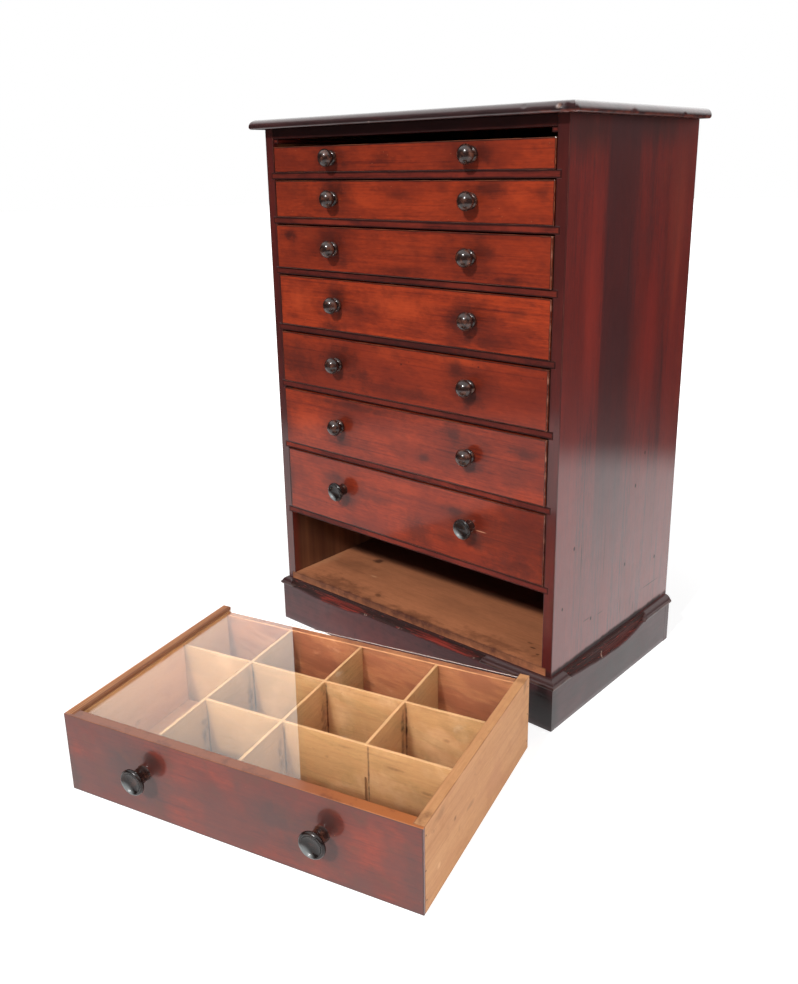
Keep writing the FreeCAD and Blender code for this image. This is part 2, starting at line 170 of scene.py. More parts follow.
class CabinetStage(bpy.types.PropertyGroup):
    key: bpy.props.FloatProperty(name="Key light", description="Light from high in front",
                                 min=0, default=2.75)
    side: bpy.props.FloatProperty(name="Side light", description="Broad soft lamp on the right",
                                  min=0, unit="POWER", default=18)
    fill: bpy.props.FloatProperty(name="Fill light", description="Even light from all round",
                                  min=0, default=0.23)
    floor_reach: length_setting("Floor pool", "Radius of the bright floor that gloss shows", 1150)


# ---- Short ways to build node trees ----

class Wire:
    """What a node puts out, which can be reckoned with like a number."""

    def __init__(self, net, socket):
        self.net, self.socket = net, socket


for sign, operation in dict(add="ADD", sub="SUBTRACT", mul="MULTIPLY", truediv="DIVIDE").items():
    setattr(Wire, f"__{sign}__", lambda a, b, o=operation: a.net.math(o, a, b))
    setattr(Wire, f"__r{sign}__", lambda a, b, o=operation: a.net.math(o, b, a))


def triple(size):
    return (size,) * 3 if isinstance(size, (int, float)) else size


class Net:
    """A node tree and the short ways to build it."""

    def __init__(self, tree):
        self.tree = tree

    def feed(self, socket, value):
        """Joins a wire to a socket, or sets the socket to a value. Text is a screen colour."""
        if isinstance(value, Wire):
            self.tree.links.new(value.socket, socket)
            return
        if socket.type == "RGBA":
            value = shade(value) if isinstance(value, str) else value
            value = (*value, 1.0) if len(value) == 3 else value
        socket.default_value = value

    def node(self, kind, inputs=(), **settings):
        """Adds a node, sets what it is and then feeds its inputs, by name or number."""
        made = self.tree.nodes.new(kind)
        for key, value in settings.items():
            setattr(made, key, value)
        for key, value in dict(inputs).items():
            self.feed(made.inputs[key], value)
        return made

    def outs(self, kind, inputs=(), **settings):
        """Adds a node and gives all that it puts out, by name."""
        return {out.name: Wire(self, out) for out in self.node(kind, inputs, **settings).outputs}

    def add(self, kind, inputs=(), out=0, **settings):
        """Adds a node and gives one of the things that it puts out."""
        return Wire(self, self.node(kind, inputs, **settings).outputs[out])

    def math(self, operation, *values, clamp=False):
        return self.add("ShaderNodeMath", enumerate(values), operation=operation, use_clamp=clamp)

    def vector(self, operation, *values, out="Vector"):
        keys = (0, 3) if operation == "SCALE" else range(len(values))
        return self.add("ShaderNodeVectorMath", zip(keys, values), out, operation=operation)

    def length(self, vector):
        return self.vector("LENGTH", vector, out="Value")

    def ramp(self, value, start, end, low=0.0, high=1.0):
        """A smooth change from low to high as a value goes from start to end."""
        return self.add("ShaderNodeMapRange", enumerate((value, start, end, low, high)),
                        interpolation_type="SMOOTHSTEP")

    def fade(self, value, start, end):
        """A smooth change from 1 to 0 as a value goes from start to end."""
        return self.ramp(value, start, end, 1.0, 0.0)

    def mix(self, share, first, second):
        """Mixes two colours."""
        return self.add("ShaderNodeMix", {0: share, 6: first, 7: second}, 2, data_type="RGBA")

    def blend(self, share, first, second):
        """The same for two numbers."""
        return self.add("ShaderNodeMix", {0: share, 2: first, 3: second}, data_type="FLOAT")

    def speckle(self, place, stretch, detail=2.0, rough=0.5):
        """Noise from 0 to 1. stretch is in patches per metre, one number or three."""
        place = self.vector("MULTIPLY", place, triple(stretch))
        return self.add("ShaderNodeTexNoise", {"Vector": place, "Scale": 1.0, "Detail": detail,
                                               "Roughness": rough}, "Fac")

    def stored(self, name, out="Fac"):
        """A number that is stored on each vertex, or a place if Vector is put out."""
        return self.add("ShaderNodeAttribute", out=out, attribute_name=name)

    def split(self, vector):
        return self.outs("ShaderNodeSeparateXYZ", {0: vector}).values()

    def bump(self, height, depth):
        """A relief, with its depth in mm."""
        return self.add("ShaderNodeBump", {"Height": height, "Distance": depth * MM})

    @cached_property
    def own(self):
        """The place in the piece's own frame."""
        return self.stored("own", "Vector")

    @cached_property
    def grain(self):
        """The place in the tree that the board was sawn from, with its length last."""
        return self.stored("grain", "Vector")

    @cached_property
    def scene_place(self):
        """The place in the scene, where no piece is moved or turned."""
        return self.add("ShaderNodeTexCoord", out="Object")

    def millimetres(self, name):
        """The three parts of a stored place, in mm."""
        return self.split(self.vector("SCALE", self.stored(name, "Vector"), 1 / MM))

    def use(self, group, *values):
        """Places a shared group, and gives all that it puts out or its only output."""
        made = self.outs("ShaderNodeGroup", enumerate(values), node_tree=group())
        return list(made.values()) if len(made) > 1 else made["Mask"]


def shared(title, inputs, outputs="Mask", kind="ShaderNodeTree"):
    """Makes a node group, once, of a function that reckons its outputs from its inputs. Sockets
    are given as in "Size, Place:Vector" and are numbers where nothing else is said."""
    def keep(reckon):
        @cache
        def made():
            tree = bpy.data.node_groups.new(title, kind)
            for way, names in (("INPUT", inputs), ("OUTPUT", outputs)):
                for name, _, what in (part.partition(":") for part in names.split(", ") if part):
                    tree.interface.new_socket(name=name, in_out=way,
                                              socket_type=f"NodeSocket{what or 'Float'}")
            net = Net(tree)
            *given, _ = net.outs("NodeGroupInput").values()
            found = reckon(net, *given)
            for socket, value in zip(net.node("NodeGroupOutput").inputs,
                                     [found] if isinstance(found, Wire) else found):
                net.feed(socket, value)
            return tree
        return made
    return keep


# ---- Effects that several finishes share ----

@shared("Wood figure", "Light:Color, Dark:Color, Ring spacing, Ring contrast, Streak contrast, "
        "Pore contrast", "Color:Color, Height, Streak")
def wood_figure(g, light, dark, spacing, rings, streaks, pores):
    """Figure of a board: growth rings, broad streaks and pores, from its place along the grain."""
    x, y, _ = g.split(g.grain)
    bend = g.speckle(g.grain, (7, 7, 1.1), 3) * 0.05 - 0.025
    radius = g.length(g.add("ShaderNodeCombineXYZ", {0: x + bend, 1: y}))
    ring = g.math("POWER", g.math("SINE", radius / spacing * (2 * math.pi)) * 0.5 + 0.5, 2.5)
    broad = g.ramp(g.speckle(g.grain, (26, 26, 1.8), 4, 0.6), 0.34, 0.68)
    fine = g.speckle(g.grain, (520, 520, 16), 4, 0.65)
    pore = g.ramp(g.speckle(g.grain, (1500, 1500, 55), 1), 0.62, 0.72)
    line = g.ramp(g.speckle(g.grain, (360, 360, 5), 2), 0.58, 0.72)
    fleck = g.speckle(g.grain, (480, 480, 130), 2, 0.6)
    streak = fine * 1.7 + broad * 0.6 + fleck * 1.2 - 1.35
    depth = ring * rings + line * (streaks * 0.5) + streak * streaks
    depth = g.math("MULTIPLY_ADD", pore * 0.5, pores, depth, clamp=True)
    return g.mix(depth, light, dark), pore * -0.6 + fine, broad


@shared("Worn edge", "Width, Patchy")
def worn_edge(g, width, patchy):
    """Mask of a board's worn arrises, from the distances to its faces."""
    near = g.vector("MINIMUM", g.stored("from_low", "Vector"), g.stored("from_high", "Vector"))
    a, b, c = g.split(near)
    inner = g.math("MINIMUM", g.math("MAXIMUM", a, b), c)
    second = g.math("MAXIMUM", g.math("MINIMUM", a, b), inner)
    patch = g.ramp(g.speckle(g.grain, (90, 90, 28), 4, 0.7), 0.35, 0.65)
    return g.fade(second / (width * (1.05 - patch * patchy)), 0.45, 1.0)


@shared("Mark", "Place:Vector, Size:Vector, Softness, Ragged, Uneven")
def one_mark(g, place, size, softness, ragged, uneven):
    """Mask of one mark at a place in the piece's own frame: a knot, dent, stain or scratch."""
    off = g.vector("DIVIDE", g.vector("SUBTRACT", g.own, place), size)
    return g.fade((uneven - 0.5) * ragged + g.length(off), 1.0 - softness, 1.0)


@shared("Blotches", "Stretch:Vector, From, To")
def cloudy(g, stretch, start, end):
    """Blotches of dirt and handling, at a given size."""
    place = g.vector("ADD", g.own, g.vector("SCALE", g.grain, 0.15))
    return g.ramp(g.speckle(place, stretch, 4.0, 0.62), start, end)


HAND_REACH = (0.034, 1, 0.024)      # how far hands have darkened a front round a knob


@shared("Hand wear", "")
def hand_wear(g):
    """Dark handling marks round the two knobs of a front."""
    x, _, z = g.split(g.stored("from_knob", "Vector"))
    side = (g.math("ABSOLUTE", x) - g.stored("knob_spread")) * g.math("SIGN", x) - 0.003
    off = g.add("ShaderNodeCombineXYZ", {0: side, 2: z - 0.001})
    ragged = g.speckle(g.grain, (60, 60, 38), 3, 0.6)
    far = (ragged - 0.5) * 1.7 + g.length(g.vector("DIVIDE", off, HAND_REACH))
    return g.fade(far, 0.2, 1.3)


@shared("Specks", "Spacing, Size, Share")
def sparse_specks(g, spacing, size, share):
    """Mask of sparse small holes and specks."""
    place = g.vector("SCALE", g.grain, 1.0 / spacing)
    cells = g.outs("ShaderNodeTexVoronoi", {"Vector": place, "Scale": 1.0})
    pick, _, _ = g.split(cells["Color"])
    return g.math("LESS_THAN", pick, share) * g.fade(cells["Distance"] / (size / spacing), 0.6, 1.2)


class Finish(Net):
    """A material that is built up in layers of colour over one shader."""

    def __init__(self, name, ragged=70):
        """ragged is how finely the marks' edges waver, in waves per metre."""
        self.material = bpy.data.materials.new(name)
        self.material.use_nodes = True
        super().__init__(self.material.node_tree)
        self.shader = self.tree.nodes["Principled BSDF"]
        self.ragged = ragged
        self.dull = None

    @cached_property
    def uneven(self):
        return self.speckle(self.own, self.ragged, 4, 0.62)

    def figure(self, light, dark, spacing, rings, streaks, pores):
        """Lays down the wood. The ring spacing is in millimetres."""
        self.colour, self.height, self.streak = self.use(wood_figure, light, dark, spacing * MM,
                                                         rings, streaks, pores)
        return self

    def lay(self, mask, tint, strength=1.0):
        """Lays a tint over the colour where a mask says so."""
        self.colour = self.mix(mask * strength, self.colour, tint)
        return self

    def blotches(self, stretch, start, end, tint, strength):
        return self.lay(self.use(cloudy, triple(stretch), start, end), tint, strength)

    def edges(self, width, tint, strength, patchy=0.6):
        """Worn arrises, with the width in millimetres."""
        return self.lay(self.use(worn_edge, width * MM, patchy), tint, strength)

    def specks(self, spacing, size, share, tint, strength):
        """Sparse holes and specks, with spacing and size in millimetres."""
        return self.lay(self.use(sparse_specks, spacing * MM, size * MM, share), tint, strength)

    def mark(self, place, size, tint, strength, softness, ragged, dull=0.0):
        """One mark, with place and half sizes in millimetres of the piece's own frame. dull is how
        far it has broken the polish too."""
        mask = self.use(one_mark, Vector(place) * MM, Vector(size) * MM, softness, ragged,
                        self.uneven)
        if dull:
            broken = mask * dull
            self.dull = self.math("MAXIMUM", self.dull, broken) if self.dull else broken
        return self.lay(mask, tint, strength)

    def set(self, **values):
        """Feeds the shader's inputs, named with _ for a space."""
        for name, value in values.items():
            self.feed(self.shader.inputs[name.replace("_", " ")], value)
        return self.material

    def done(self, rough, coat=0.0, coat_rough=0.15, relief=0.05, worn=None, level=0.35):
        """Joins it all to the shader. relief is the depth of the grain in millimetres."""
        spread = self.speckle(self.own, 35, 4, 0.65) * 0.16 + (rough - 0.08)
        if worn:
            spread = self.math("MULTIPLY_ADD", worn, 0.3, spread, clamp=True)
            coat = self.math("SUBTRACT", 1.0, worn, clamp=True) * coat
        return self.set(
            Base_Color=self.colour, Roughness=spread, Specular_IOR_Level=level, Coat_Weight=coat,
            Coat_Roughness=coat_rough, Coat_IOR=1.5, Normal=self.bump(self.height, relief))


# ---- Materials ----

# Smoky places on each front, and on the loose front a painted shadow and reflection beside each knob:
# middle across and up, half sizes (mm) and strength
SMOKE_AND_SHADE = {
    1: ((-20, 13, 22, 9, 0.5), (106, 14, 18, 14, 0.6), (-75, 6, 8, 6, 0.35), (-92, 14, 26, 12, 0.3)),
    2: ((-95, 30, 32, 18, 0.7), (0, 25, 24, 8, 0.4), (118, 33, 30, 13, 0.65), (175, 30, 12, 12, 0.45),
        (-150, 30, 34, 16, 0.35), (60, 34, 14, 10, 0.35)),
    3: ((-165, 38, 22, 9, 0.85), (-100, 32, 30, 20, 0.6), (55, 24, 16, 12, 0.5), (108, 32, 22, 14, 0.45),
        (142, 5, 28, 7, 0.6), (0, 7, 60, 7, 0.35), (-80, 10, 12, 8, 0.4)),
    4: ((-94, 34, 20, 26, 0.65), (-105, 4, 24, 8, 0.7), (85, 30, 30, 26, 0.6), (-190, 29, 9, 30, 0.6),
        (122, 9, 36, 11, 0.4), (92, 11, 16, 8, 0.45), (150, 40, 16, 8, 0.35)),
    5: ((-160, 30, 50, 34, 0.5), (-92, 38, 38, 22, 0.6), (-58, 22, 26, 11, 0.45), (75, 48, 20, 13, 0.7),
        (96, 18, 20, 18, 0.65), (0, 12, 130, 11, 0.4), (2, 43, 2.2, 1.8, 0.9), (105, 53, 1.8, 1.4, 0.9)),
    6: ((-70, 62, 120, 8, 0.55), (70, 55, 20, 17, 0.7), (32, 22, 16, 9, 0.65), (95, 21, 16, 12, 0.5),
        (160, 51, 30, 9, 0.5), (-92, 17, 22, 14, 0.45), (150, 24, 28, 20, 0.35), (-185, 30, 10, 34, 0.4)),
    7: ((-110, 56, 22, 8, 0.55), (-84, 31, 20, 13, 0.55), (20, 20, 30, 26, 0.6), (70, 54, 18, 11, 0.6),
        (60, 20, 24, 11, 0.45), (102, 26, 16, 17, 0.55), (-188, 36, 13, 40, 0.5), (187, 41, 8, 34, 0.4),
        (-40, 42, 36, 9, 0.4), (150, 12, 44, 14, 0.4)),
    8: ((-118, 44, 30, 32, 0.65), (-88, 26, 26, 28, 0.6), (48, 46, 40, 26, 0.65), (62, 22, 26, 14, 0.5),
        (104, 30, 18, 34, 0.5), (-184, 14, 16, 24, 0.75), (-190, 44, 10, 24, 0.5), (178, 40, 14, 44, 0.45),
        (150, 16, 40, 16, 0.35), (-20, 52, 26, 12, 0.3), (10, 64, 5, 9, 0.4), (0, 84, 200, 4, 0.3),
        # painted shadow and reflection beside the loose front's two knobs
        (-84, 60, 17, 17, 0.9), (102, 60, 15, 17, 0.9)),
}
# Places where the polish is still bright, in the same way
BRIGHT = {
    2: ((150, 24, 16, 10, 0.4), (-50, 18, 26, 9, 0.3)),
    3: ((-130, 39, 16, 10, 0.75), (20, 28, 60, 12, 0.35)),
    4: ((-150, 31, 34, 22, 0.8), (0, 36, 70, 22, 0.8), (158, 36, 24, 14, 0.45)),
    5: ((84, 56, 48, 8, 0.7), (-20, 52, 30, 9, 0.35)),
    6: ((-148, 26, 40, 28, 0.7), (0, 40, 50, 14, 0.3)),
    7: ((-150, 50, 30, 16, 0.4), (0, 66, 50, 9, 0.35)),
    8: ((150, 62, 36, 18, 0.35), (-145, 56, 16, 26, 0.3), (-98, 5, 16, 5, 0.5), (92, 4, 14, 5, 0.5),
        (10, 24, 26, 8, 0.3)),
}

PROUD = range(3, 8)         # drawers that stand out, whose right-hand ends have a pale line: a rubbed arris with a painted highlight


def front_layers(f, number, name, smudge_and_shade):
    """Polished mahogany with the hand marks and worn edges that all the fronts share, a band of painted
    shade round their edges, and on the loose front painted shade and reflection beside its knobs.
    """
    wood = Finish(name, (85, 85, 110)).figure(f.front_red, f.front_brown, 11, 0.06, 0.8, 0.5)
    wood.lay(wood.stored("tone"), f.front_brown, 0.75)
    for x, z, wide, tall, share in BRIGHT.get(number, ()):
        wood.mark((x, 0, z), (wide, 30, tall), "B6441E", share * 0.65, 0.95, 1.3)
    wood.blotches((10, 10, 22), 0.42, 0.7, f.front_brown, 0.6)
    wood.blotches((40, 40, 90), 0.5, 0.74, f.front_smudge, 0.3)
    for x, z, wide, tall, share in SMOKE_AND_SHADE[number]:
        wood.mark((x, 0, z), (wide, 30, tall), smudge_and_shade, share * 0.95, 0.9, 1.4)
    wood.lay(wood.use(hand_wear), f.front_smudge, 0.4)
    wood.specks(14, 0.7, 0.2, "1A0C0A", 0.8).specks(9, 0.45, 0.15, f.bare_edge, 0.8)
    # The dark band 1.9 mm wide round each front is painted shade, as in the gaps round a drawer in the
    # carcase; the thin pale arris after it is worn polish.
    wood.edges(1.9, "240E0C", 0.85, 0.35).edges(0.5, f.bare_edge, f.wear * 0.8, 0.9)
    # A pale patchy line on the right-hand end: partly a rubbed arris, partly a painted highlight.
    if number in PROUD:
        right, _, _ = wood.millimetres("from_high")
        patch = wood.ramp(wood.uneven, 0.42, 0.62, 0.05, 1.0)
        wood.lay(wood.fade(right, 0.6, 1.0) * patch, "A87460", 0.5)
    return wood


def closed_front(f, number):
    """A closed drawer's front. The lowest one is scratched."""
    scratched = number == DRAWERS - 1
    name = "scratched_front" if scratched else f"front_mahogany_{number}"
    wood = front_layers(f, number, name, f.front_smudge)
    if scratched:
        wood.mark((109, 0, 40), (9, 2, 0.8), "C08A6A", 0.9, 0.6, 0.5)
        wood.mark((160, 0, 40), (75, 20, 70), "3E1410", 0.6, 0.9, 0.9)
    return wood.done(0.45, coat=0.42, coat_rough=0.1, relief=0.008, level=0.22)


def loose_front(f, number):
    """The loose drawer's front, whose upper edge is bare from handling."""
    # 2E2422 colours the loose front's smoky marks and the painted shade beside its knobs.
    wood = front_layers(f, number, "loose_front", "2E2422")
    wood.blotches((16, 16, 20), 0.3, 0.6, "4A2A26", 0.6)
    across, _, _ = wood.millimetres("own")
    _, _, top = wood.millimetres("from_high")
    tan = wood.mix(wood.ramp(across, 20, 150), "8E5236", "B0683A")
    wood.lay(wood.fade(top, 0.3, 0.8), tan, 0.95).blotches(60, 0.52, 0.68, "5A2C1C", 0.45)
    return wood.done(0.45, coat=0.62, coat_rough=0.12, relief=0.008, level=0.3)


# Redder and darker stretches of the sides: middle back and up, half sizes (mm), tint, strength and
# softness
SIDE_STRETCHES = (
    (50, 440, 22, 170, "8E2A1E", 0.45, 0.9), (172, 400, 26, 130, "7E2018", 0.4, 0.9),
    (225, 520, 34, 110, "7A3224", 0.4, 0.95), (30, 600, 90, 40, "2A1615", 0.75, 0.95),
    (150, 606, 150, 34, "2A1615", 0.75, 0.95), (205, 330, 10, 90, "3E1A18", 0.35, 0.9),
    (112, 395, 40, 90, "30191A", 0.5, 0.9), (225, 440, 12, 80, "8A3020", 0.3, 0.9))
SIDE_DENTS = ((36, 192), (147, 137), (220, 122), (17, 131), (162, 226), (76, 98), (180, 260))
SIDE_SCRATCHES = ((51, 176, 1.3, 24), (99, 168, 0.8, 46), (141, 88, 1.0, 14), (165, 86, 1.0, 12),
                  (172, 76, 0.9, 8), (120, 470, 0.9, 60), (67, 100, 9, 1.2), (212, 90, 30, 1.0),
                  (96, 97, 9, 0.9))
SIDE_THROUGH = 900          # half width of a mark that shows on both faces of both sides, mm


def side_mahogany(f):
    wood = Finish("side_mahogany", (55, 55, 9)).figure(f.side_red, f.side_dark, 16, 0.05, 0.75, 0.6)
    x, y, z = wood.millimetres("own")
    wood.blotches((22, 22, 5), 0.42, 0.7, "561A15", 0.55)
    wood.blotches((12, 12, 6), 0.52, 0.74, "8A3822", 0.35)
    for back, up, deep, tall, tint, strength, soft in SIDE_STRETCHES:
        wood.mark((HALF_WIDTH, back, up), (SIDE_THROUGH, deep, tall), tint, strength, soft, 0.7)
    uneven = wood.speckle(wood.own, (30, 30, 7), 4, 0.6)
    streak = wood.ramp(y, 66, 75) * wood.fade(uneven * 130 + y, 168, 236) * wood.ramp(z, 90, 260)
    wood.lay(streak, "381A1B", 0.74)
    # A dark line just above the moulding, which also dulls the polish: partly grime, partly a painted
    # reflection of the dark moulding.
    wood.mark((HALF_WIDTH, 120, 62), (SIDE_THROUGH, 300, 5.5), "180D0C", 0.95, 0.7, 1.0, 0.9)
    for back, up in SIDE_DENTS:
        wood.mark((HALF_WIDTH, back, up), (9, 1.9, 2.9), "1A0E0D", 0.9, 0.5, 0.6, 0.7)
    for back, up, deep, tall in SIDE_SCRATCHES:
        wood.mark((HALF_WIDTH, back, up), (9, deep, tall), "2A1612", 0.7, 0.7, 0.5, 0.3)
    wood.edges(1.8, f.side_dark, 0.7, 0.3).edges(0.6, f.bare_edge, f.wear * 0.3, 0.9)
    wood.lay(wood.fade(y, 0.3, 1.6) * wood.ramp(uneven, 0.4, 0.6, 0.55, 0.95), "380F0D", 0.8)
    inner = wood.fade(wood.math("ABSOLUTE", x), HALF_WIDTH - 2, HALF_WIDTH - 1)
    wood.lay(inner * wood.ramp(y, 3, 14), wood.mix(wood.streak, "7E4E34", "4E2C1E"))
    return wood.done(0.42, coat=0.85, coat_rough=0.09, relief=0.008, worn=wood.dull, level=0.3)


def rail_mahogany(f):
    wood = Finish("rail_mahogany").figure(f.rail_brown, "34130F", 9, 0.15, 0.8, 0.5)
    wood.blotches(9, 0.44, 0.62, "8C3220", 0.5).blotches(60, 0.55, 0.75, f.side_dark, 0.5)
    wood.mark((-20, 0, 385), (420, 60, 130), "221011", 0.6, 0.95, 0.5)
    wood.mark((-190, 0, 520), (90, 60, 90), "221011", 0.6, 0.95, 0.9)
    # Painted shade, with some dirt: a dark band all along the top rail under the top board's overhang.
    wood.mark((0, 0, 608), (420, 60, 11), "1E0E0F", 0.92, 0.5, 0.3)
    # The dark band along the rails' edges is painted shade of the gaps round the drawers.
    wood.edges(2.2, "240E0D", 0.85, 0.35)
    return wood.done(0.5, coat=0.05, coat_rough=0.3, relief=0.02, level=0.15)


def top_mahogany(f):
    wood = Finish("top_mahogany").figure(f.top_dark, "120B0A", 7, 0.3, 0.5, 0.4)
    wood.blotches((7, 28, 60), 0.48, 0.75, f.rail_brown, 0.25)
    patch = wood.ramp(wood.speckle(wood.own, 70, 4), 0.4, 0.6)
    wood.lay(wood.stored("lower_edge") * patch, "6E3428", 0.8)
    wood.lay(wood.stored("raw"), "8C6A5C", 0.7)
    wood.mark((213, -5, 616), (4, 1.0, 9), "080505", 0.9, 0.5, 0.5)
    return wood.done(0.4, coat=0.95, coat_rough=0.14, relief=0.02, level=0.5)


def plinth_mahogany(f):
    wood = Finish("plinth_mahogany").figure(f.plinth_brown, "1C1110", 10, 0.12, 0.4, 0.5)
    wood.blotches((12, 12, 30), 0.5, 0.72, "5A2420", 0.4).blotches(80, 0.6, 0.75, "150D0C", 0.5)
    # Painted shadow and reflection: the right-hand end of the plinth's front is darkened where the loose
    # drawer shades it.
    wood.mark((196, -6, 24), (34, 20, 40), "0E0B0B", 0.85, 0.7, 0.5)
    wood.mark((-70, -8, 20), (190, 9, 44), "6E302C", 0.5, 0.95, 1.0)
    wood.mark((212, 130, 22), (14, 170, 40), "1E1B18", 0.85, 0.8, 0.8)
    torn = wood.stored("torn")
    fibre = wood.speckle(wood.grain, (650, 650, 26), 4, 0.65)
    wood.lay(wood.stored("bead"), "2A1714", 0.6)
    wood.lay(torn, wood.mix(wood.ramp(fibre, 0.4, 0.65), "301713", "170C0A"), 0.9)
    wood.lay(wood.stored("raw"), wood.mix(wood.ramp(fibre, 0.42, 0.62), f.torn_red, "4E1610"), 0.95)
    wood.lay(wood.stored("fleck"), "B89C8C", 0.8).lay(wood.stored("nose"), "6E5248", 0.3)
    return wood.done(0.42, coat=0.33, coat_rough=0.12, relief=0.02, worn=torn, level=0.25)


# Dark places on the board in the open bay: middle across and back, half sizes (mm) and strength
BAY_SHADOWS = ((-115, 12, 70, 22, 0.55), (10, 6, 50, 12, 0.6), (120, 12, 70, 16, 0.55),
               (-150, 62, 60, 26, 0.25))
BAY_KNOTS = ((-127, 94, 10, 9, 0.85), (158, 29, 6, 2, 0.8), (170, 20, 3, 2, 0.7),
             (150, 36, 5, 2, 0.5), (-60, 18, 6, 4, 0.6))
BAY_LEVEL = 67.5            # height of the marks on that board, mm


def bare_pine(f):
    wood = Finish("bare_pine", (60, 90, 60)).figure(f.pine, "8A5638", 14, 0.1, 0.5, 0.3)
    wood.blotches((8, 26, 8), 0.45, 0.7, "8A583C", 0.6)

    def marks(places, tint, soft, ragged, tall=9):
        for x, y, wide, deep, share in places:
            wood.mark((x, y, BAY_LEVEL), (wide, deep, tall), tint, share, soft, ragged)

    marks(BAY_SHADOWS, "4E2A1C", 0.95, 2.2)
    marks([(0, -6, 400, 12, 0.95)], "381A18", 0.7, 0.7, tall=20)
    marks(BAY_KNOTS, "3E2216", 0.7, 1.3)
    marks([(-100, 55, 8, 3, 0.5)], "D09A70", 0.8, 1.4)
    marks([(-185, 50, 14, 60, 0.35)], "C48E66", 0.9, 1.4)
    wood.specks(14, 0.5, 0.2, "4A2A1A", 0.5)
    # Painted shadow: the board is darkened from about 100 mm back, where the bay's upper edge shades it
    # from the light in front.
    _, behind, _ = wood.millimetres("own")
    wood.lay(wood.ramp(behind, 94, 108), "3A1E18", 0.72).edges(1.2, "4A2A1C", 0.5, 0.5)
    return wood.done(0.72, relief=0.06, level=0.25)


def tan_layers(name, f):
    """The pale wood of the drawers' boxes."""
    wood = Finish(name).figure(f.drawer_tan, "B27A50", 8, 0.15, 0.6, 0.45)
    wood.blotches((14, 14, 30), 0.5, 0.72, "B87C56", 0.5).blotches(30, 0.55, 0.78, "A86C44", 0.4)
    return wood.blotches(70, 0.62, 0.8, "7A4C30", 0.5)


def drawer_tan(f):
    return tan_layers("drawer_tan", f).edges(1.0, "8E5C3C", 0.5).done(0.62)


def closed_box(f):
    """A closed drawer's box, darkened as painted shade where its sides show in the gaps beside the front.
    """
    wood = tan_layers("closed_box", f)
    _, behind, _ = wood.millimetres("own")
    return wood.lay(wood.fade(behind, 6, 16), "1E0E0B", 0.95).done(0.7, level=0.25)


def stained_side(f):
    """The loose drawer's right-hand side, with a dark stain on its top near the front."""
    wood = tan_layers("stained_side", f)
    for place, size, share in (
            ((182, 12, 84), (9, 22, 2.4), 0.9), ((188, 62, 48), (9, 4, 3), 0.6),
            ((188, 30, 74), (9, 16, 6), 0.3), ((188, 95, 38), (9, 12, 4), 0.3),
            ((184, 236, 80), (12, 8, 14), 0.4)):
        wood.mark(place, size, "5A321E", share, 0.7, 1.3)
    wood.mark((188, 29, 26), (9, 5, 4), "E2B084", 0.7, 0.8, 1.2)
    return wood.edges(1.0, "7E4E32", 0.6).done(0.62)


def reddish_side(f):
    """The loose drawer's left-hand side, whose upper edge is redder and darker, with painted shade along
    its groove and on the inner face of its lip.
    """
    wood = tan_layers("reddish_side", f)
    x, _, z = wood.millimetres("own")
    upper = wood.ramp(z, 76, 80)
    lines = wood.ramp(wood.speckle(wood.grain, (700, 700, 8), 3), 0.4, 0.6)
    wood.lay(upper, wood.mix(lines, "CE9268", "A86C48"), 0.9)
    # Painted shade: dark lines along the groove, and a darker inner lip above the glass.
    for middle, half in ((-183.4, 0.35), (-181.2, 0.5)):
        line = wood.fade(wood.math("ABSOLUTE", x - middle), half * 0.5, half)
        wood.lay(upper * line, "4A2818", 0.6)
    return wood.lay(upper * wood.ramp(x, -181, -178.5), "784830", 0.8).done(0.62)


def drawer_red(f):
    wood = Finish("drawer_red").figure(f.drawer_red, "84482C", 9, 0.1, 0.45, 0.5)
    wood.blotches((9, 9, 36), 0.46, 0.58, "7E4830", 0.75)
    wood.blotches((14, 14, 90), 0.52, 0.62, "6A3A26", 0.45)
    wood.blotches((22, 22, 34), 0.55, 0.72, "C89070", 0.5)
    wood.blotches((40, 40, 90), 0.6, 0.75, "5E3422", 0.5)
    # The pale arrises are partly worn wood, partly a painted highlight along the back board's top.
    return wood.edges(1.2, "D89C6C", 0.6).done(0.6)


# Dark marks on the loose grid: place, and half sizes across and up (mm)
GRID_MARKS = ((48, 82, 50, 4, 3), (134, 160, 44, 5, 3), (150, 160, 62, 3, 1.6),
              (118, 82, 58, 14, 2.4), (66, 82, 66, 10, 2), (150, 82, 42, 8, 2.4))


def divider_wood(f):
    wood = Finish("divider_wood", 110).figure(f.divider_tan, "8A6440", 9, 0.1, 0.6, 0.5)
    wood.blotches(18, 0.5, 0.7, "CCA078", 0.45).blotches((26, 26, 40), 0.5, 0.72, "8A6844", 0.45)
    wood.blotches(110, 0.62, 0.8, "6A4428", 0.6)
    for x, y, z, wide, tall in GRID_MARKS:
        wood.mark((x, y, z), (wide, 9, tall), "5A3A22", 0.6, 0.9, 1.8)
    for x in crossings():
        for y, share in ((158, 1.0), (80, 0.8)):
            wood.mark((x + 2.8, y, 40), (1.7, 9, 60), "24120A", share, 0.5, 1.0)
    _, _, top = wood.millimetres("from_high")
    # Paler upper faces: partly clean planed wood, partly a painted highlight where the light from above
    # falls.
    wood.edges(1.0, "8A5C36", 0.35).lay(wood.fade(top, 0.1, 0.6), f.divider_edge, 0.4)
    return wood.specks(11, 0.6, 0.3, "5A3820", 0.7).done(0.6, relief=0.04)


def carcase_inside(f):
    wood = Finish("carcase_inside").figure("603622", "361E16", 6, 0.3, 0.7, 0.4)
    return wood.blotches(12, 0.5, 0.7, "3A1E16", 0.6).done(0.7, level=0.3)


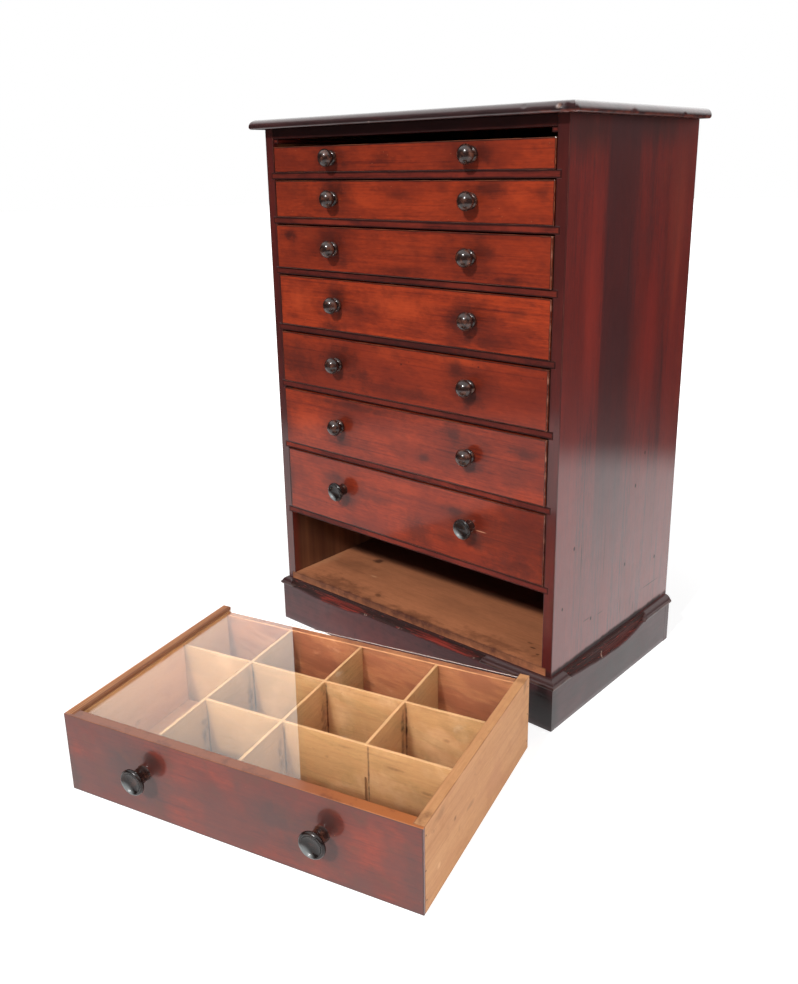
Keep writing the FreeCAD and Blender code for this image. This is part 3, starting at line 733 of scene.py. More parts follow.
def ebonised(f):
    wood = Finish("ebonised")
    cloud, fine = wood.speckle(wood.scene_place, 160, 4, 0.6), wood.speckle(wood.scene_place, 900, 3, 0.6)
    wood.colour = wood.mix(wood.ramp(cloud, 0.45, 0.72), f.ebony, "5A3629")
    face = wood.stored("face")
    # The dish of a dished knob is darkened as painted shade, and a pale crescent at its lower left is a
    # painted highlight.
    wood.lay(wood.ramp(fine, 0.64, 0.8), "6A4636", 0.4).lay(face, "0C0909", 0.8)
    wood.lay(wood.stored("rubbed"), "868A8A", 0.7)
    return wood.set(Base_Color=wood.colour, Roughness=cloud * 0.2 + 0.16, Specular_IOR_Level=0.4,
                    Coat_Weight=face * -0.3 + 0.35, Coat_Roughness=0.1, Normal=wood.bump(fine, 0.02))


def mottled(name, stretch, change, first, second, rough):
    """A matt material of two colours in small patches."""
    finish = Finish(name)
    tone = finish.speckle(finish.scene_place, stretch, 3)
    return finish.set(Base_Color=finish.mix(finish.ramp(tone, 0.4, change), first, second),
                      Roughness=finish.ramp(tone, 0.3, 0.7, *rough))


def nail_iron(f):
    return mottled("nail_iron", 1400, 0.65, "1C1412", "4A2A1C", (0.5, 0.9))


def splinter_wood(f):
    return mottled("splinter_wood", 220, 0.62, "3A100C", f.torn_red, (0.55, 0.8))


def window_glass(f):
    """Thin old glass. Lamps shine straight through it, as they do through a real sheet."""
    glass = Finish("window_glass")
    ripple = glass.speckle(glass.scene_place, (9, 14, 9), 2)
    glass.set(Base_Color=(0.975, 0.99, 0.98), Roughness=0.0, IOR=1.56, Transmission_Weight=1.0,
              Normal=glass.bump(ripple, 0.03))
    both = glass.add("ShaderNodeMixShader", {
        0: glass.add("ShaderNodeLightPath", out="Is Shadow Ray"),
        1: Wire(glass, glass.shader.outputs[0]),
        2: glass.add("ShaderNodeBsdfTransparent", {"Color": (0.95, 0.97, 0.96)})})
    glass.feed(glass.tree.nodes["Material Output"].inputs["Surface"], both)
    return glass.material


@cache
def finish_of(maker, *given):
    """A material by its function, made when it is first asked for."""
    return maker(bpy.context.scene.cabinet_finish, *given)


# ---- Meshes ----

GRAINS = {"X": (1, 2, 0), "Y": (0, 2, 1), "Z": (0, 1, 2)}  # puts the part along the grain last
PITH = 0.03, 0.09           # how far a board was sawn from the middle of its tree
PITH_SIDE = 0.08
ALONG_TREE = 5.0
WELD = 0.002                # corners of a CAD mesh that are nearer than this are one, mm
FLAT, SHARP = math.radians(0.5), math.radians(40)


def store(mesh, name, values):
    """Stores a number or a vector for each vertex."""
    if isinstance(values[0], Vector):
        made = mesh.attributes.new(name, "FLOAT_VECTOR", "POINT")
        made.data.foreach_set("vector", [part for value in values for part in value])
    else:
        made = mesh.attributes.new(name, "FLOAT", "POINT")
        made.data.foreach_set("value", values)


def boards_of(mesh):
    """The vertices of each separate solid in a mesh."""
    around = {v: [] for v in range(len(mesh.vertices))}
    for edge in mesh.edges:
        first, second = edge.vertices
        around[first].append(second)
        around[second].append(first)
    while around:
        board, waiting = [], [next(iter(around))]
        while waiting:
            here = waiting.pop()
            if here in around:
                board.append(here)
                waiting += around.pop(here)
        yield board


def note_wood(mesh, place, grain, seed):
    """Stores on each vertex where it lies: in its piece's own frame, along the grain of a board
    that was sawn somewhere in its tree, and from the lowest and highest faces of the board."""
    back, draw = place.inverted(), random.Random(seed)
    notes = {name: [None] * len(mesh.vertices) for name in ("own", "grain", "from_low", "from_high")}
    for board in boards_of(mesh):
        places = [back @ mesh.vertices[v].co for v in board]
        low, high = corners(places)
        pith = Vector((draw.uniform(-PITH_SIDE, PITH_SIDE), draw.uniform(*PITH),
                       draw.uniform(-ALONG_TREE, ALONG_TREE)))
        for v, p in zip(board, places):
            along = Vector([p[k] for k in GRAINS[grain]]) + pith
            for values, value in zip(notes.values(), (p, along, p - low, high - p)):
                values[v] = value
    for name, values in notes.items():
        store(mesh, name, values)


def merged(node):
    """A closed mesh of a CAD node, with its flat faces whole again."""
    bm = bmesh.new()
    bm.from_mesh(frame["nodes"][node].data)
    bmesh.ops.remove_doubles(bm, verts=bm.verts, dist=WELD * MM)
    bmesh.ops.dissolve_limit(bm, angle_limit=FLAT, verts=bm.verts, edges=bm.edges)
    return bm


def soften(bm, arris, steps=2, chosen=None):
    """Rounds the straight sharp edges of a board."""
    sharp = [edge for edge in bm.edges if len(edge.link_faces) == 2
             and edge.calc_face_angle() > SHARP and edge.calc_length() > 4 * arris
             and (chosen is None or chosen(edge))]
    bmesh.ops.bevel(bm, geom=sharp, offset=arris, offset_type="OFFSET", segments=steps,
                    profile=0.5, affect="EDGES", clamp_overlap=False)


def plain_mesh(bm, name):
    mesh = bpy.data.meshes.new(name)
    bm.to_mesh(mesh)
    bm.free()
    return mesh


def linked(name, data):
    """A new object in the scene."""
    made = bpy.data.objects.new(name, data)
    bpy.context.scene.collection.objects.link(made)
    return made


def piece(shape, name, material, body, slot, nodes=(), smooth=None):
    """Turns a mesh into a finished piece that rides its body and stands for its CAD nodes."""
    mesh = shape if isinstance(shape, bpy.types.Mesh) else plain_mesh(shape, name)
    made = linked(name, mesh)
    mesh.materials.clear()
    mesh.materials.append(material)
    if smooth is not None:
        mesh.shade_smooth()
        mesh.set_sharp_from_angle(angle=math.radians(smooth))
    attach(made, body)
    if nodes:
        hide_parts(*nodes)
    return made


def dressed(node, name, material, body, slot, place, grain, arris, corner=None):
    """A softened copy of a CAD board in its own wood. corner is (test, radius, steps)."""
    bm = merged(node)
    if corner:
        test, radius, steps = corner
        back = place.inverted()
        soften(bm, radius * MM, steps, lambda e: all(test(back @ v.co / MM) for v in e.verts))
    soften(bm, arris)
    made = piece(bm, name, material, body, slot, [node])
    note_wood(made.data, place, grain, name)
    return made


def band(bm, first, second):
    """Joins two closed rows of vertices, of which one may be a single point."""
    count = max(len(first), len(second))
    for k in range(count):
        ring = [row[n % count % len(row)] for row, n in (
            (first, k), (first, k + 1), (second, k + 1), (second, k))]
        bm.faces.new(list(dict.fromkeys(ring)))


def arc_points(start, through, end, steps):
    """Points on the circle through three places of a section, from start to end."""
    a, b, c = (complex(*place) for place in (start, through, end))
    lean = (c - a) / (b - a)
    middle = a + (b - a) * (lean - abs(lean) ** 2) / (lean - lean.conjugate())
    sweep = cmath.phase((b - middle) / (a - middle)) + cmath.phase((c - middle) / (b - middle))
    places = [middle + (a - middle) * cmath.rect(1, sweep * t) for t in shares(steps)]
    return [(place.real, place.imag) for place in places]


def smooth_step(value):
    value = min(max(value, 0.0), 1.0)
    return value * value * (3 - 2 * value)


def wobble(*place):
    return noise.noise(Vector(place))


def shares(count):
    return [k / count for k in range(count + 1)]


# ---- Carcase ----

class CABINET_OT_carcase(bpy.types.Operator):
    """Make the sides, the back and the boards between the drawers"""
    bl_idname = "cabinet.carcase"
    bl_label = "Carcase"

    def execute(self, context):
        for node, maker, slot, grain in (
                ("side_left", side_mahogany, "mahogany_carcase", "Z"),
                ("side_right", side_mahogany, "mahogany_carcase", "Z"),
                ("back_panel", carcase_inside, "pine_board", "Z"),
                ("bottom_board", bare_pine, "pine_board", "X"),
                ("dust_boards", rail_mahogany, "pine_board", "X"),
                ("top_rail", rail_mahogany, "mahogany_carcase", "X"),
                ("top_kickers", rail_mahogany, "pine_board", "Y"),
                ("plinth_back", plinth_mahogany, "mahogany_dark", "X")):
            dressed(node, f"{node}_wood", finish_of(maker), "cabinet", slot, CABINET, grain,
                    context.scene.cabinet_detail.arris)
        return {"FINISHED"}


# ---- Top board ----

TOP_ROUND = 7.0             # radius worked on its upper edge, mm
NOSE_ROUND = 2.4            # smaller round under the nose, mm
TOP_STEP = 1.6              # along the edge, mm
RUBBED_HEIGHT = 3.2         # of the rubbed lower edge, mm
RUBBED_FROM = 150           # where it starts on the right, mm
# Chips in its edge: place (mm), radius and depth
CHIPS = [((196, -13, 617.0), 3.0, 1.1), ((203, -13, 614.5), 5.5, 1.8), ((211, -12, 613.5), 4.5, 1.6),
         ((-27, -13, 611.5), 1.6, 0.8), ((160, -12, 618), 2.5, 0.8), ((213, 196, 613), 3.0, 1.1),
         ((213, 90, 612), 6.0, 0.8), ((-213, 120, 615), 4.0, 1.2), ((-120, -13, 612), 3.0, 0.7)]
PALE_CHIPS = (0, 3)


def top_sections(under, top, reach):
    """The thumbnail section of the top's edge, as reach and height in mm."""
    short = 1 - math.sqrt(0.5)      # of a radius, at the middle of a quarter round
    lower = arc_points((reach - NOSE_ROUND, under),
                       (reach - NOSE_ROUND * short, under + NOSE_ROUND * short),
                       (reach, under + NOSE_ROUND), 4)
    upper = arc_points((reach, top - TOP_ROUND),
                       (reach - TOP_ROUND * short, top - TOP_ROUND * short),
                       (reach - TOP_ROUND, top), 9)
    return [(2.0, under), (reach - NOSE_ROUND - 3, under), *lower, *upper, (3.0, top), (0.0, top)]


def chipped(point):
    """A place on the top's edge after its chips and long wear, and how pale it is."""
    pale = 0.0
    centre = Vector((min(max(point.x, -HALF_WIDTH), HALF_WIDTH), max(point.y, 0), point.z))
    inward = centre - point
    if inward.length > 0.5:
        inward.normalize()
        worn = 0.14 * wobble(point.x * 0.03, point.y * 0.03, 4)
        worn += 0.08 * wobble(point.x * 0.2, point.y * 0.2, point.z * 0.3)
        point = point + inward * (worn + 0.12)
    for number, (place, radius, depth) in enumerate(CHIPS):
        off = (point - Vector(place)).length / radius + 0.25 * wobble(*(point * 0.9))
        if off < 1:
            deep = 1 - off * off
            point = point + Vector((inward.x, inward.y, -0.35)) * depth * deep
            if number in PALE_CHIPS:
                pale = max(pale, smooth_step(deep * 1.6))
    return point, pale


def top_corners(reach):
    """The top's edge at a reach, from its left rear end round the front to its right rear end."""
    side = HALF_WIDTH + reach
    return (-side, DEPTH), (-side, -reach), (side, -reach), (side, DEPTH)


def top_path(levels):
    """Rows of places down the top's edge, one row after another round the board."""
    for run, length in enumerate((DEPTH, 2 * HALF_WIDTH, DEPTH)):
        for t in shares(round(length / TOP_STEP))[1 if run else 0:]:
            yield [(*(a + (b - a) * t for a, b in zip(*top_corners(reach)[run:run + 2])), z)
                   for reach, z in levels]


class CABINET_OT_top(bpy.types.Operator):
    """Make the top board with its worn thumbnail edge"""
    bl_idname = "cabinet.top"
    bl_label = "Top board"

    def execute(self, context):
        low, high = own_box("top_board", CABINET)
        under, top = low.z / MM, high.z / MM
        levels = top_sections(under, top, high.x / MM - HALF_WIDTH)
        bm = bmesh.new()
        pale, lower, rows = [], [], []
        for row in top_path(levels):
            rows.append([])
            for x, y, z in row:
                point, raw = chipped(Vector((x, y, z)))
                point.y = min(point.y, DEPTH)
                pale.append(raw)
                rubbed = smooth_step((under + RUBBED_HEIGHT - z) / 1.5)
                lower.append(rubbed * smooth_step((x - RUBBED_FROM) / 40))
                rows[-1].append(bm.verts.new(at(*point)))
        for first, second in zip(rows, rows[1:]):
            for k in range(len(levels) - 1):
                bm.faces.new((first[k], first[k + 1], second[k + 1], second[k]))
        for face in ([row[-1] for row in rows], [row[0] for row in rows][::-1],
                     rows[0][::-1] + rows[-1]):
            bm.faces.new(face)
        bmesh.ops.recalc_face_normals(bm, faces=bm.faces)
        board = piece(bm, "top_worn", finish_of(top_mahogany), "cabinet", "mahogany_dark",
                      ["top_board"], 35)
        store(board.data, "raw", pale)
        store(board.data, "lower_edge", lower)
        note_wood(board.data, CABINET, "X", "top")
        return {"FINISHED"}


# ---- Plinth and its torn moulding ----

PLINTH_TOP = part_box("plinth_front")[1].z / MM
MOULD_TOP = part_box("plinth_moulding")[1].z / MM
MOULD_HEIGHT = MOULD_TOP - PLINTH_TOP
PLINTH_STEP = (FRONT_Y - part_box("plinth_front")[0].y) / MM      # stands out from the carcase
MOULD_NOSE = (FRONT_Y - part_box("plinth_moulding")[0].y) / MM    # reach of the moulding's nose
PLINTH_THICK = (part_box("plinth_front")[1].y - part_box("plinth_front")[0].y) / MM
PLINTH_BACK = PLINTH_STEP - PLINTH_THICK                        # reach of its hidden face
SIDE_END = (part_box("plinth_right")[1].y - FRONT_Y) / MM
ROOT = 2.1                  # wood left against the carcase, mm
SLANT = 8.0                 # run of the slanting ends, mm
SPLIT_STEP = 1.0            # along the torn lengths, mm
TORN_ZONE = 12.0            # how far below its upper edge a board may be torn, mm
FINE_STEP = 0.45            # up that part of its face, mm
WHOLE = None
# Torn stretches: where the board is torn, its deepest place and depth, and how far the moulding is
# missing; then the stretches where the wood shows bright red, and bare flecks, all in mm.
FRONT_TEAR = dict(start=-185, end=-52, deepest=-115, depth=4.5, missing=112,
                  red=((-150, -56), (2, 112)), bright=1.0, flecks=(-59, -6, 103, -62, -2), seed=3)
SIDE_TEAR = dict(start=29, end=192, deepest=137, depth=8.5, missing=192,
                 red=((84, 200),), bright=0.3, flecks=(99,), seed=11)


def bow(s, tear):
    """How deep the board's torn edge lies at a place, as a share of its deepest."""
    if not tear["start"] < s < tear["end"]:
        return 0.0
    edge = tear["start"] if s < tear["deepest"] else tear["end"]
    return math.sin(math.pi / 2 * (s - edge) / (tear["deepest"] - edge))


def torn_reach(s, z, whole, tear):
    """Reach of the wood at a place of a torn length, and how far it is torn, from 0 to 1."""
    plain = whole + 0.06 * wobble(s * 0.06, z * 0.3, 2)
    if tear is WHOLE:
        return plain, 0.0
    seed = tear["seed"]
    slant = SLANT * min(max((z - PLINTH_TOP) / MOULD_HEIGHT, 0), 1)
    inside = min(s - tear["start"] + slant, tear["missing"] + slant - s)
    inside += 1.8 * wobble(z * 0.8, seed, s * 0.05)
    edge = PLINTH_TOP - tear["depth"] * bow(s, tear)
    edge += 0.6 * wobble(s * 0.05, seed, 0) + 0.25 * wobble(s * 0.3, seed, 5)
    gone = smooth_step((z - edge) / 0.9) * smooth_step(inside)
    ridge = 0.5 * wobble(s * 0.02, z * 0.9, seed) + 0.22 * wobble(s * 0.08, z * 2.4, seed)
    left = ROOT + 0.5 + ridge + 1.3 * smooth_step((edge + 3.0 - z) / 3.0)
    return plain + (min(left, plain) - plain) * gone, gone


def raw_wood(s, z, torn, tear):
    """How bright and red the torn wood is at a place, and how much of a bare fleck it has."""
    if tear is WHOLE or torn <= 0.5:
        return 0.0, 0.0
    lens = max(min(s - first, last - s) for first, last in tear["red"]) / 24
    bright = smooth_step(lens + 0.8 * wobble(s * 0.08, z * 0.5, 9))
    bright *= smooth_step((PLINTH_TOP + 8 - z) / 3) * tear["bright"]
    bright *= smooth_step(0.75 + 1.8 * wobble(s * 0.03, z * 1.1, 21))
    near = min(abs(s - place) for place in tear["flecks"]) + 1.2 * abs(wobble(s, z, 4))
    return bright, smooth_step(1.5 - near / 0.8) * smooth_step((PLINTH_TOP + 1.5 - z) / 1.5)


PLINTH_SIDES = {
    "front": lambda s, reach, z: at(s, -reach, z),
    "right": lambda s, reach, z: at(HALF_WIDTH + reach, s, z),
    "left": lambda s, reach, z: at(-HALF_WIDTH - reach, s, z)}


def torn_length(name, side, levels, back, rear, tear, nodes):
    """A length of plinth board or moulding on one side. levels are the (reach, height) of its
    face, back those of its hidden side, and rear is where the side lengths end."""
    def run(t, reach):
        start, end = -reach, rear
        if side == "front":
            start, end = -HALF_WIDTH - reach, HALF_WIDTH + reach
        return start + (end - start) * t

    bm = bmesh.new()
    notes = {title: [] for title in ("torn", "raw", "fleck", "nose", "bead")}
    rows = []
    for t in shares(round((run(1, 0) - run(0, 0)) / SPLIT_STEP)):
        rows.append([])
        for k, (reach, z) in enumerate((*levels, *back)):
            s, values = run(t, reach), (0.0,) * len(notes)
            if k < len(levels):
                whole = reach
                reach, torn = torn_reach(s, z, whole, tear)
                nose = (1 - torn) * smooth_step((whole - PLINTH_STEP - 1.2) / 1.2)
                nose *= smooth_step(0.5 + wobble(s * 0.12, 7, z * 0.2))
                values = (torn, *raw_wood(s, z, torn, tear), nose,
                          smooth_step((z - PLINTH_TOP) / 0.8))
            rows[-1].append(bm.verts.new(PLINTH_SIDES[side](s, reach, z)))
            for noted, value in zip(notes.values(), values):
                noted.append(value)
    for first, second in zip(rows, rows[1:]):
        band(bm, first, second)
    bm.faces.new(rows[0][::-1])
    bm.faces.new(rows[-1])
    bmesh.ops.recalc_face_normals(bm, faces=bm.faces)
    made = piece(bm, name, finish_of(plinth_mahogany), "cabinet", "mahogany_dark", nodes, 50)
    for title, values in notes.items():
        store(made.data, title, values)
    note_wood(made.data, CABINET, "X" if side == "front" else "Y", name)


def board_levels():
    """Places up the face of a plinth board, close together where it may be torn."""
    fine_from = PLINTH_TOP - TORN_ZONE
    heights = [0.8] + [fine_from * t for t in shares(6)[1:]]
    heights += [fine_from + FINE_STEP * k for k in range(1, int(TORN_ZONE / FINE_STEP))]
    heights.append(PLINTH_TOP - 0.4)
    return [(PLINTH_STEP - 0.6, 0), *((PLINTH_STEP, z) for z in heights),
            (PLINTH_STEP - 0.5, PLINTH_TOP)]


def moulding_levels():
    """Section of the moulding: a bead with an ovolo above it."""
    bead = 0.5 * MOULD_HEIGHT
    neck = (PLINTH_STEP + 0.3 * (MOULD_NOSE - PLINTH_STEP), PLINTH_TOP + bead)
    lower = arc_points((PLINTH_STEP, PLINTH_TOP), (MOULD_NOSE, PLINTH_TOP + 0.6 * bead), neck, 10)
    upper = arc_points(neck, (0.55 * MOULD_NOSE, PLINTH_TOP + 0.8 * MOULD_HEIGHT),
                       (0.6, MOULD_TOP), 14)
    return [(min(reach, MOULD_NOSE - 0.15), z) for reach, z in lower + upper[1:]]


class CABINET_OT_plinth(bpy.types.Operator):
    """Make the plinth and its moulding, torn off along two stretches"""
    bl_idname = "cabinet.plinth"
    bl_label = "Plinth"

    def execute(self, context):
        sides = (("front", FRONT_TEAR), ("right", SIDE_TEAR), ("left", WHOLE))
        back = [(PLINTH_BACK, PLINTH_TOP), (PLINTH_BACK, 0)]
        for side, tear in sides:
            name = f"plinth_{side}_{'torn' if tear else 'board'}"
            torn_length(name, side, board_levels(), back, SIDE_END, tear, [f"plinth_{side}"])
        back = [(0, MOULD_TOP), (0, PLINTH_TOP)]
        for side, tear in sides:
            name = f"moulding_{side}_{'torn' if tear else 'length'}"
            torn_length(name, side, moulding_levels(), back, DEPTH, tear,
                        ["plinth_moulding"] if side == "front" else ())
        return {"FINISHED"}


# ---- Geometry Nodes for what repeats ----

def instanced(g, points, instance, material, turn=None, **more):
    """Puts an instance on each point and ends a group: the instances become real and take their
    material. turn is given in each instance's own frame."""
    made = g.add("GeometryNodeInstanceOnPoints", {"Points": points, "Instance": instance, **more})
    if turn:
        made = g.add("GeometryNodeRotateInstances", {"Instances": made, "Rotation": turn})
    real = g.add("GeometryNodeRealizeInstances", {0: made})
    return g.add("GeometryNodeSetMaterial", {"Geometry": real, "Material": material})


def noted(g, name, kind):
    return g.add("GeometryNodeInputNamedAttribute", {"Name": name}, data_type=kind)


@shared("Knob pair", "Geometry:Geometry, Start:Vector, Offset:Vector, Turn:Vector, Knob:Object, "
        "Material:Material", "Geometry:Geometry", "GeometryNodeTree")
def knob_pair(g, _, start, offset, turn, knob, material):
    """Sets the same turned piece at both ends of a spread."""
    line = g.add("GeometryNodeMeshLine", {"Count": 2, "Start Location": start, "Offset": offset},
                 mode="OFFSET")
    turned = g.add("GeometryNodeObjectInfo", {"Object": knob}, "Geometry")
    return instanced(g, line, turned, material, turn)


@shared("Nail heads", "Geometry:Geometry, Radius, Depth, Material:Material", "Geometry:Geometry",
        "GeometryNodeTree")
def nail_heads(g, points, radius, depth, material):
    """A slightly sunk round head at each point, facing the point's own way."""
    head = g.add("GeometryNodeMeshCone", {"Vertices": 12, "Radius Top": radius * 0.7,
                                          "Radius Bottom": radius, "Depth": depth}, "Mesh")
    way = g.add("FunctionNodeAlignRotationToVector", {
        "Vector": noted(g, "facing", "FLOAT_VECTOR")}, axis="Z")
    return instanced(g, points, head, material, Rotation=way)


@shared("Splinters", "Geometry:Geometry, Density, Along:Vector, Length, Seed:Int, "
        "Material:Material", "Geometry:Geometry", "GeometryNodeTree")
def slivers(g, torn_mesh, density, along, length, seed, material):
    """Thin slivers that lie along the grain where wood is torn."""
    spots = g.add("GeometryNodeDistributePointsOnFaces", {
        "Mesh": torn_mesh, "Density": density * noted(g, "torn", "FLOAT"), "Seed": seed}, "Points")
    sliver = g.add("GeometryNodeMeshCone", {
        "Vertices": 3, "Side Segments": 2, "Radius Top": 0.00004, "Radius Bottom": 0.0003,
        "Depth": length}, "Mesh")
    sway = g.add("FunctionNodeRandomValue", {0: (-0.16, -0.16, -3.1), 1: (0.16, 0.16, 3.1),
                                             "Seed": seed}, data_type="FLOAT_VECTOR")
    size = g.add("FunctionNodeRandomValue", {2: 0.35, 3: 1.3, "Seed": seed}, 1, data_type="FLOAT")
    way = g.add("FunctionNodeAlignRotationToVector", {"Vector": along}, axis="Z")
    return instanced(g, spots, sliver, material, sway, Rotation=way, Scale=size)


def grown(group, mesh, name, **values):
    """Runs a geometry group on a mesh and gives back the plain mesh that comes out."""
    carrier = linked(f"{name}_maker", mesh)
    modifier = carrier.modifiers.new("nodes", "NODES")
    modifier.node_group = group()
    for item in modifier.node_group.interface.items_tree:
        if item.name in values:
            modifier[item.identifier] = values[item.name]
    depsgraph = bpy.context.evaluated_depsgraph_get()
    result = bpy.data.meshes.new_from_object(carrier.evaluated_get(depsgraph))
    result.name = name
    carrier.modifiers.remove(modifier)
    bpy.data.objects.remove(carrier)
    return result


def points_mesh(name, places):
    mesh = bpy.data.meshes.new(name)
    mesh.from_pydata(places, [], [])
    return mesh


SPLINTER = 7.0              # mm
SPLINTER_SEED = 5
# Torn lengths, the way their grain runs, and their share of the splinters
SPLINTERED = (("moulding_front_torn", (1, 0, 0), 0.5), ("moulding_right_torn", (0, 1, 0), 0.3),
              ("plinth_right_torn", (0, 1, 0), 0.2))


class CABINET_OT_splinters(bpy.types.Operator):
    """Raise splinters on the torn stretches of the plinth"""
    bl_idname = "cabinet.splinters"
    bl_label = "Splinters"

    def execute(self, context):
        wood = finish_of(splinter_wood)
        for name, along, share in SPLINTERED:
            source = bpy.data.objects[name].data
            torn = source.attributes["torn"].data
            area = sum(face.area for face in source.polygons
                       if all(torn[v].value > 0.5 for v in face.vertices))
            count = context.scene.cabinet_detail.splinters * share
            mesh = grown(slivers, source.copy(), f"splinters_{name}", Density=count / area,
                         Along=along, Length=SPLINTER * MM, Seed=SPLINTER_SEED, Material=wood)
            piece(mesh, mesh.name, wood, "cabinet", "mahogany_dark")
        return {"FINISHED"}


# ---- Drawers ----

# How far each front has darkened, from the top drawer down
FRONT_TONES = (0.35, 0.3, 0.35, 0.0, 0.55, 0.25, 0.35, 0.55)
# Rounded corners of the loose drawer: which of its corners in mm, radius (mm) and steps
FRONT_CORNER = (lambda p: p.x < -180 and p.z < 1, 1.8, 4)
REAR_CORNER = (lambda p: p.y > 248 and p.z > 81, 3.5, 5)
PANE_ARRIS = 0.2            # mm


def knob_places(number):
    """Height of a drawer's knobs, half their spread and their radius, in the drawer's frame."""
    low, high = own_box(f"drawer_{number}_knobs", drawer_frame(number))
    radius = (high.z - low.z) / 2
    return (low.z + high.z) / 2, (high.x - low.x) / 2 - radius, radius


def drawer_board(number, part, name, material, slot, grain, arris, corner=None):
    body = f"drawer_{number}"
    return dressed(f"{body}_{part}", f"{body}_{name}", material, body, slot, drawer_frame(number),
                   grain, arris, corner)


def front_board(number, arris):
    """A drawer's front, with its places from the knobs noted for the hand marks."""
    maker, corner = (loose_front, FRONT_CORNER) if number == DRAWERS else (closed_front, None)
    mesh = drawer_board(number, "front", "face", finish_of(maker, number), "mahogany_front", "X",
                        arris, corner).data
    height, spread, _ = knob_places(number)
    back = Matrix.Translation((0, 0, -height)) @ drawer_frame(number).inverted()
    store(mesh, "from_knob", [back @ v.co for v in mesh.vertices])
    store(mesh, "knob_spread", [spread] * len(mesh.vertices))
    store(mesh, "tone", [FRONT_TONES[number - 1]] * len(mesh.vertices))


def glass_sheet(number, body):
    name = f"drawer_{number}"
    bm = merged(f"{name}_glass")
    soften(bm, PANE_ARRIS * MM, 1)
    piece(bm, f"{name}_pane", finish_of(window_glass), body, "window_glass", [f"{name}_glass"])


class CABINET_OT_closed_drawers(bpy.types.Operator):
    """Make the seven drawers that are home"""
    bl_idname = "cabinet.closed_drawers"
    bl_label = "Closed drawers"

    def execute(self, context):
        detail = context.scene.cabinet_detail
        for number in range(1, DRAWERS):
            front_board(number, detail.arris)
            drawer_board(number, "box", "carcass", finish_of(closed_box), "cedar_box", "Y",
                         detail.arris)
            drawer_board(number, "dividers", "grid", finish_of(divider_wood), "pine_dividers", "X",
                         detail.thin_arris)
            glass_sheet(number, f"drawer_{number}")
        return {"FINISHED"}


class CABINET_OT_loose_drawer(bpy.types.Operator):
    """Make the lifted-out drawer, its grid and its sheet of glass"""
    bl_idname = "cabinet.loose_drawer"
    bl_label = "Loose drawer"

    def execute(self, context):
        detail = context.scene.cabinet_detail
        front_board(DRAWERS, detail.arris)
        for part, maker, grain, corner in (
                ("side_left", reddish_side, "Y", REAR_CORNER),
                ("side_right", stained_side, "Y", REAR_CORNER),
                ("back", drawer_red, "X", None), ("bottom", drawer_tan, "X", None)):
            drawer_board(DRAWERS, part, f"{part}_board", finish_of(maker), "cedar_box", grain,
                         detail.arris, corner)
        for part, grain in (("long_divider_rear", "X"), ("long_divider_front", "X"),
                            *((f"cross_divider_{third}", "Y") for third in THIRDS)):
            drawer_board(DRAWERS, part, f"{part}_board", finish_of(divider_wood), "pine_dividers",
                         grain, detail.thin_arris)
        glass_sheet(DRAWERS, f"{LOOSE}_lid")
        return {"FINISHED"}


# ---- Knobs ----

# Places on the section of a knob, as radius and reach in shares of its head's radius, and steps
ROUND_KNOB = (((0.72, 0.0), (0.84, 0.24), (0.55, 0.52), 12),
              ((0.55, 0.65), (0.862, 0.788), (1.0, 1.12), 10),
              ((1.0, 1.12), (0.75, 1.535), (0.0, 1.85), 18))
DISHED_KNOB = (((0.62, 0.0), (0.585, 0.14), (0.58, 0.3), 12),
               ((0.58, 0.32), (0.68, 0.82), (1.0, 1.12), 10),
               ((1.0, 1.12), (0.98, 1.3), (0.88, 1.38), 6),
               ((0.88, 1.38), (0.8, 1.35), (0.74, 1.28), 6),
               ((0.74, 1.28), (0.4, 1.14), (0.0, 1.1), 6))


def turned_knob(name, radius, dished, steps):
    """A knob on the lathe's axis, reaching towards -Y from its foot. It notes on each vertex how far it
    lies in the dish, which is darkened as painted shade, and where a crescent of painted highlight lies at
    the dish's lower left."""
    collar, neck, *head = DISHED_KNOB if dished else ROUND_KNOB
    outline = [(0.0, 0.0), *arc_points(*collar), *arc_points(*neck)]
    for part in head:
        outline += arc_points(*part)[1:]
    bm = bmesh.new()
    rings = []
    for r, reach in outline:
        angles = [2 * math.pi * k / steps for k in range(steps if r > 1e-6 else 1)]
        rings.append([bm.verts.new(Vector((r * math.cos(a), -reach, r * math.sin(a))) * radius)
                      for a in angles])
    for first, second in zip(rings, rings[1:]):
        band(bm, first, second)
    bmesh.ops.recalc_face_normals(bm, faces=bm.faces)
    mesh = plain_mesh(bm, name)
    places = [vertex.co / radius for vertex in mesh.vertices]
    # The dish is darkened as painted shade, and a crescent at its lower left is a painted highlight.
    face = [smooth_step((-p.y - 1.0) / 0.15) if dished else 0.0 for p in places]
    store(mesh, "face", face)
    store(mesh, "rubbed", [inside * smooth_step((-0.6 * p.x - 0.8 * p.z - 0.45) / 0.3)
                           for inside, p in zip(face, places)])
    return linked(name, mesh)


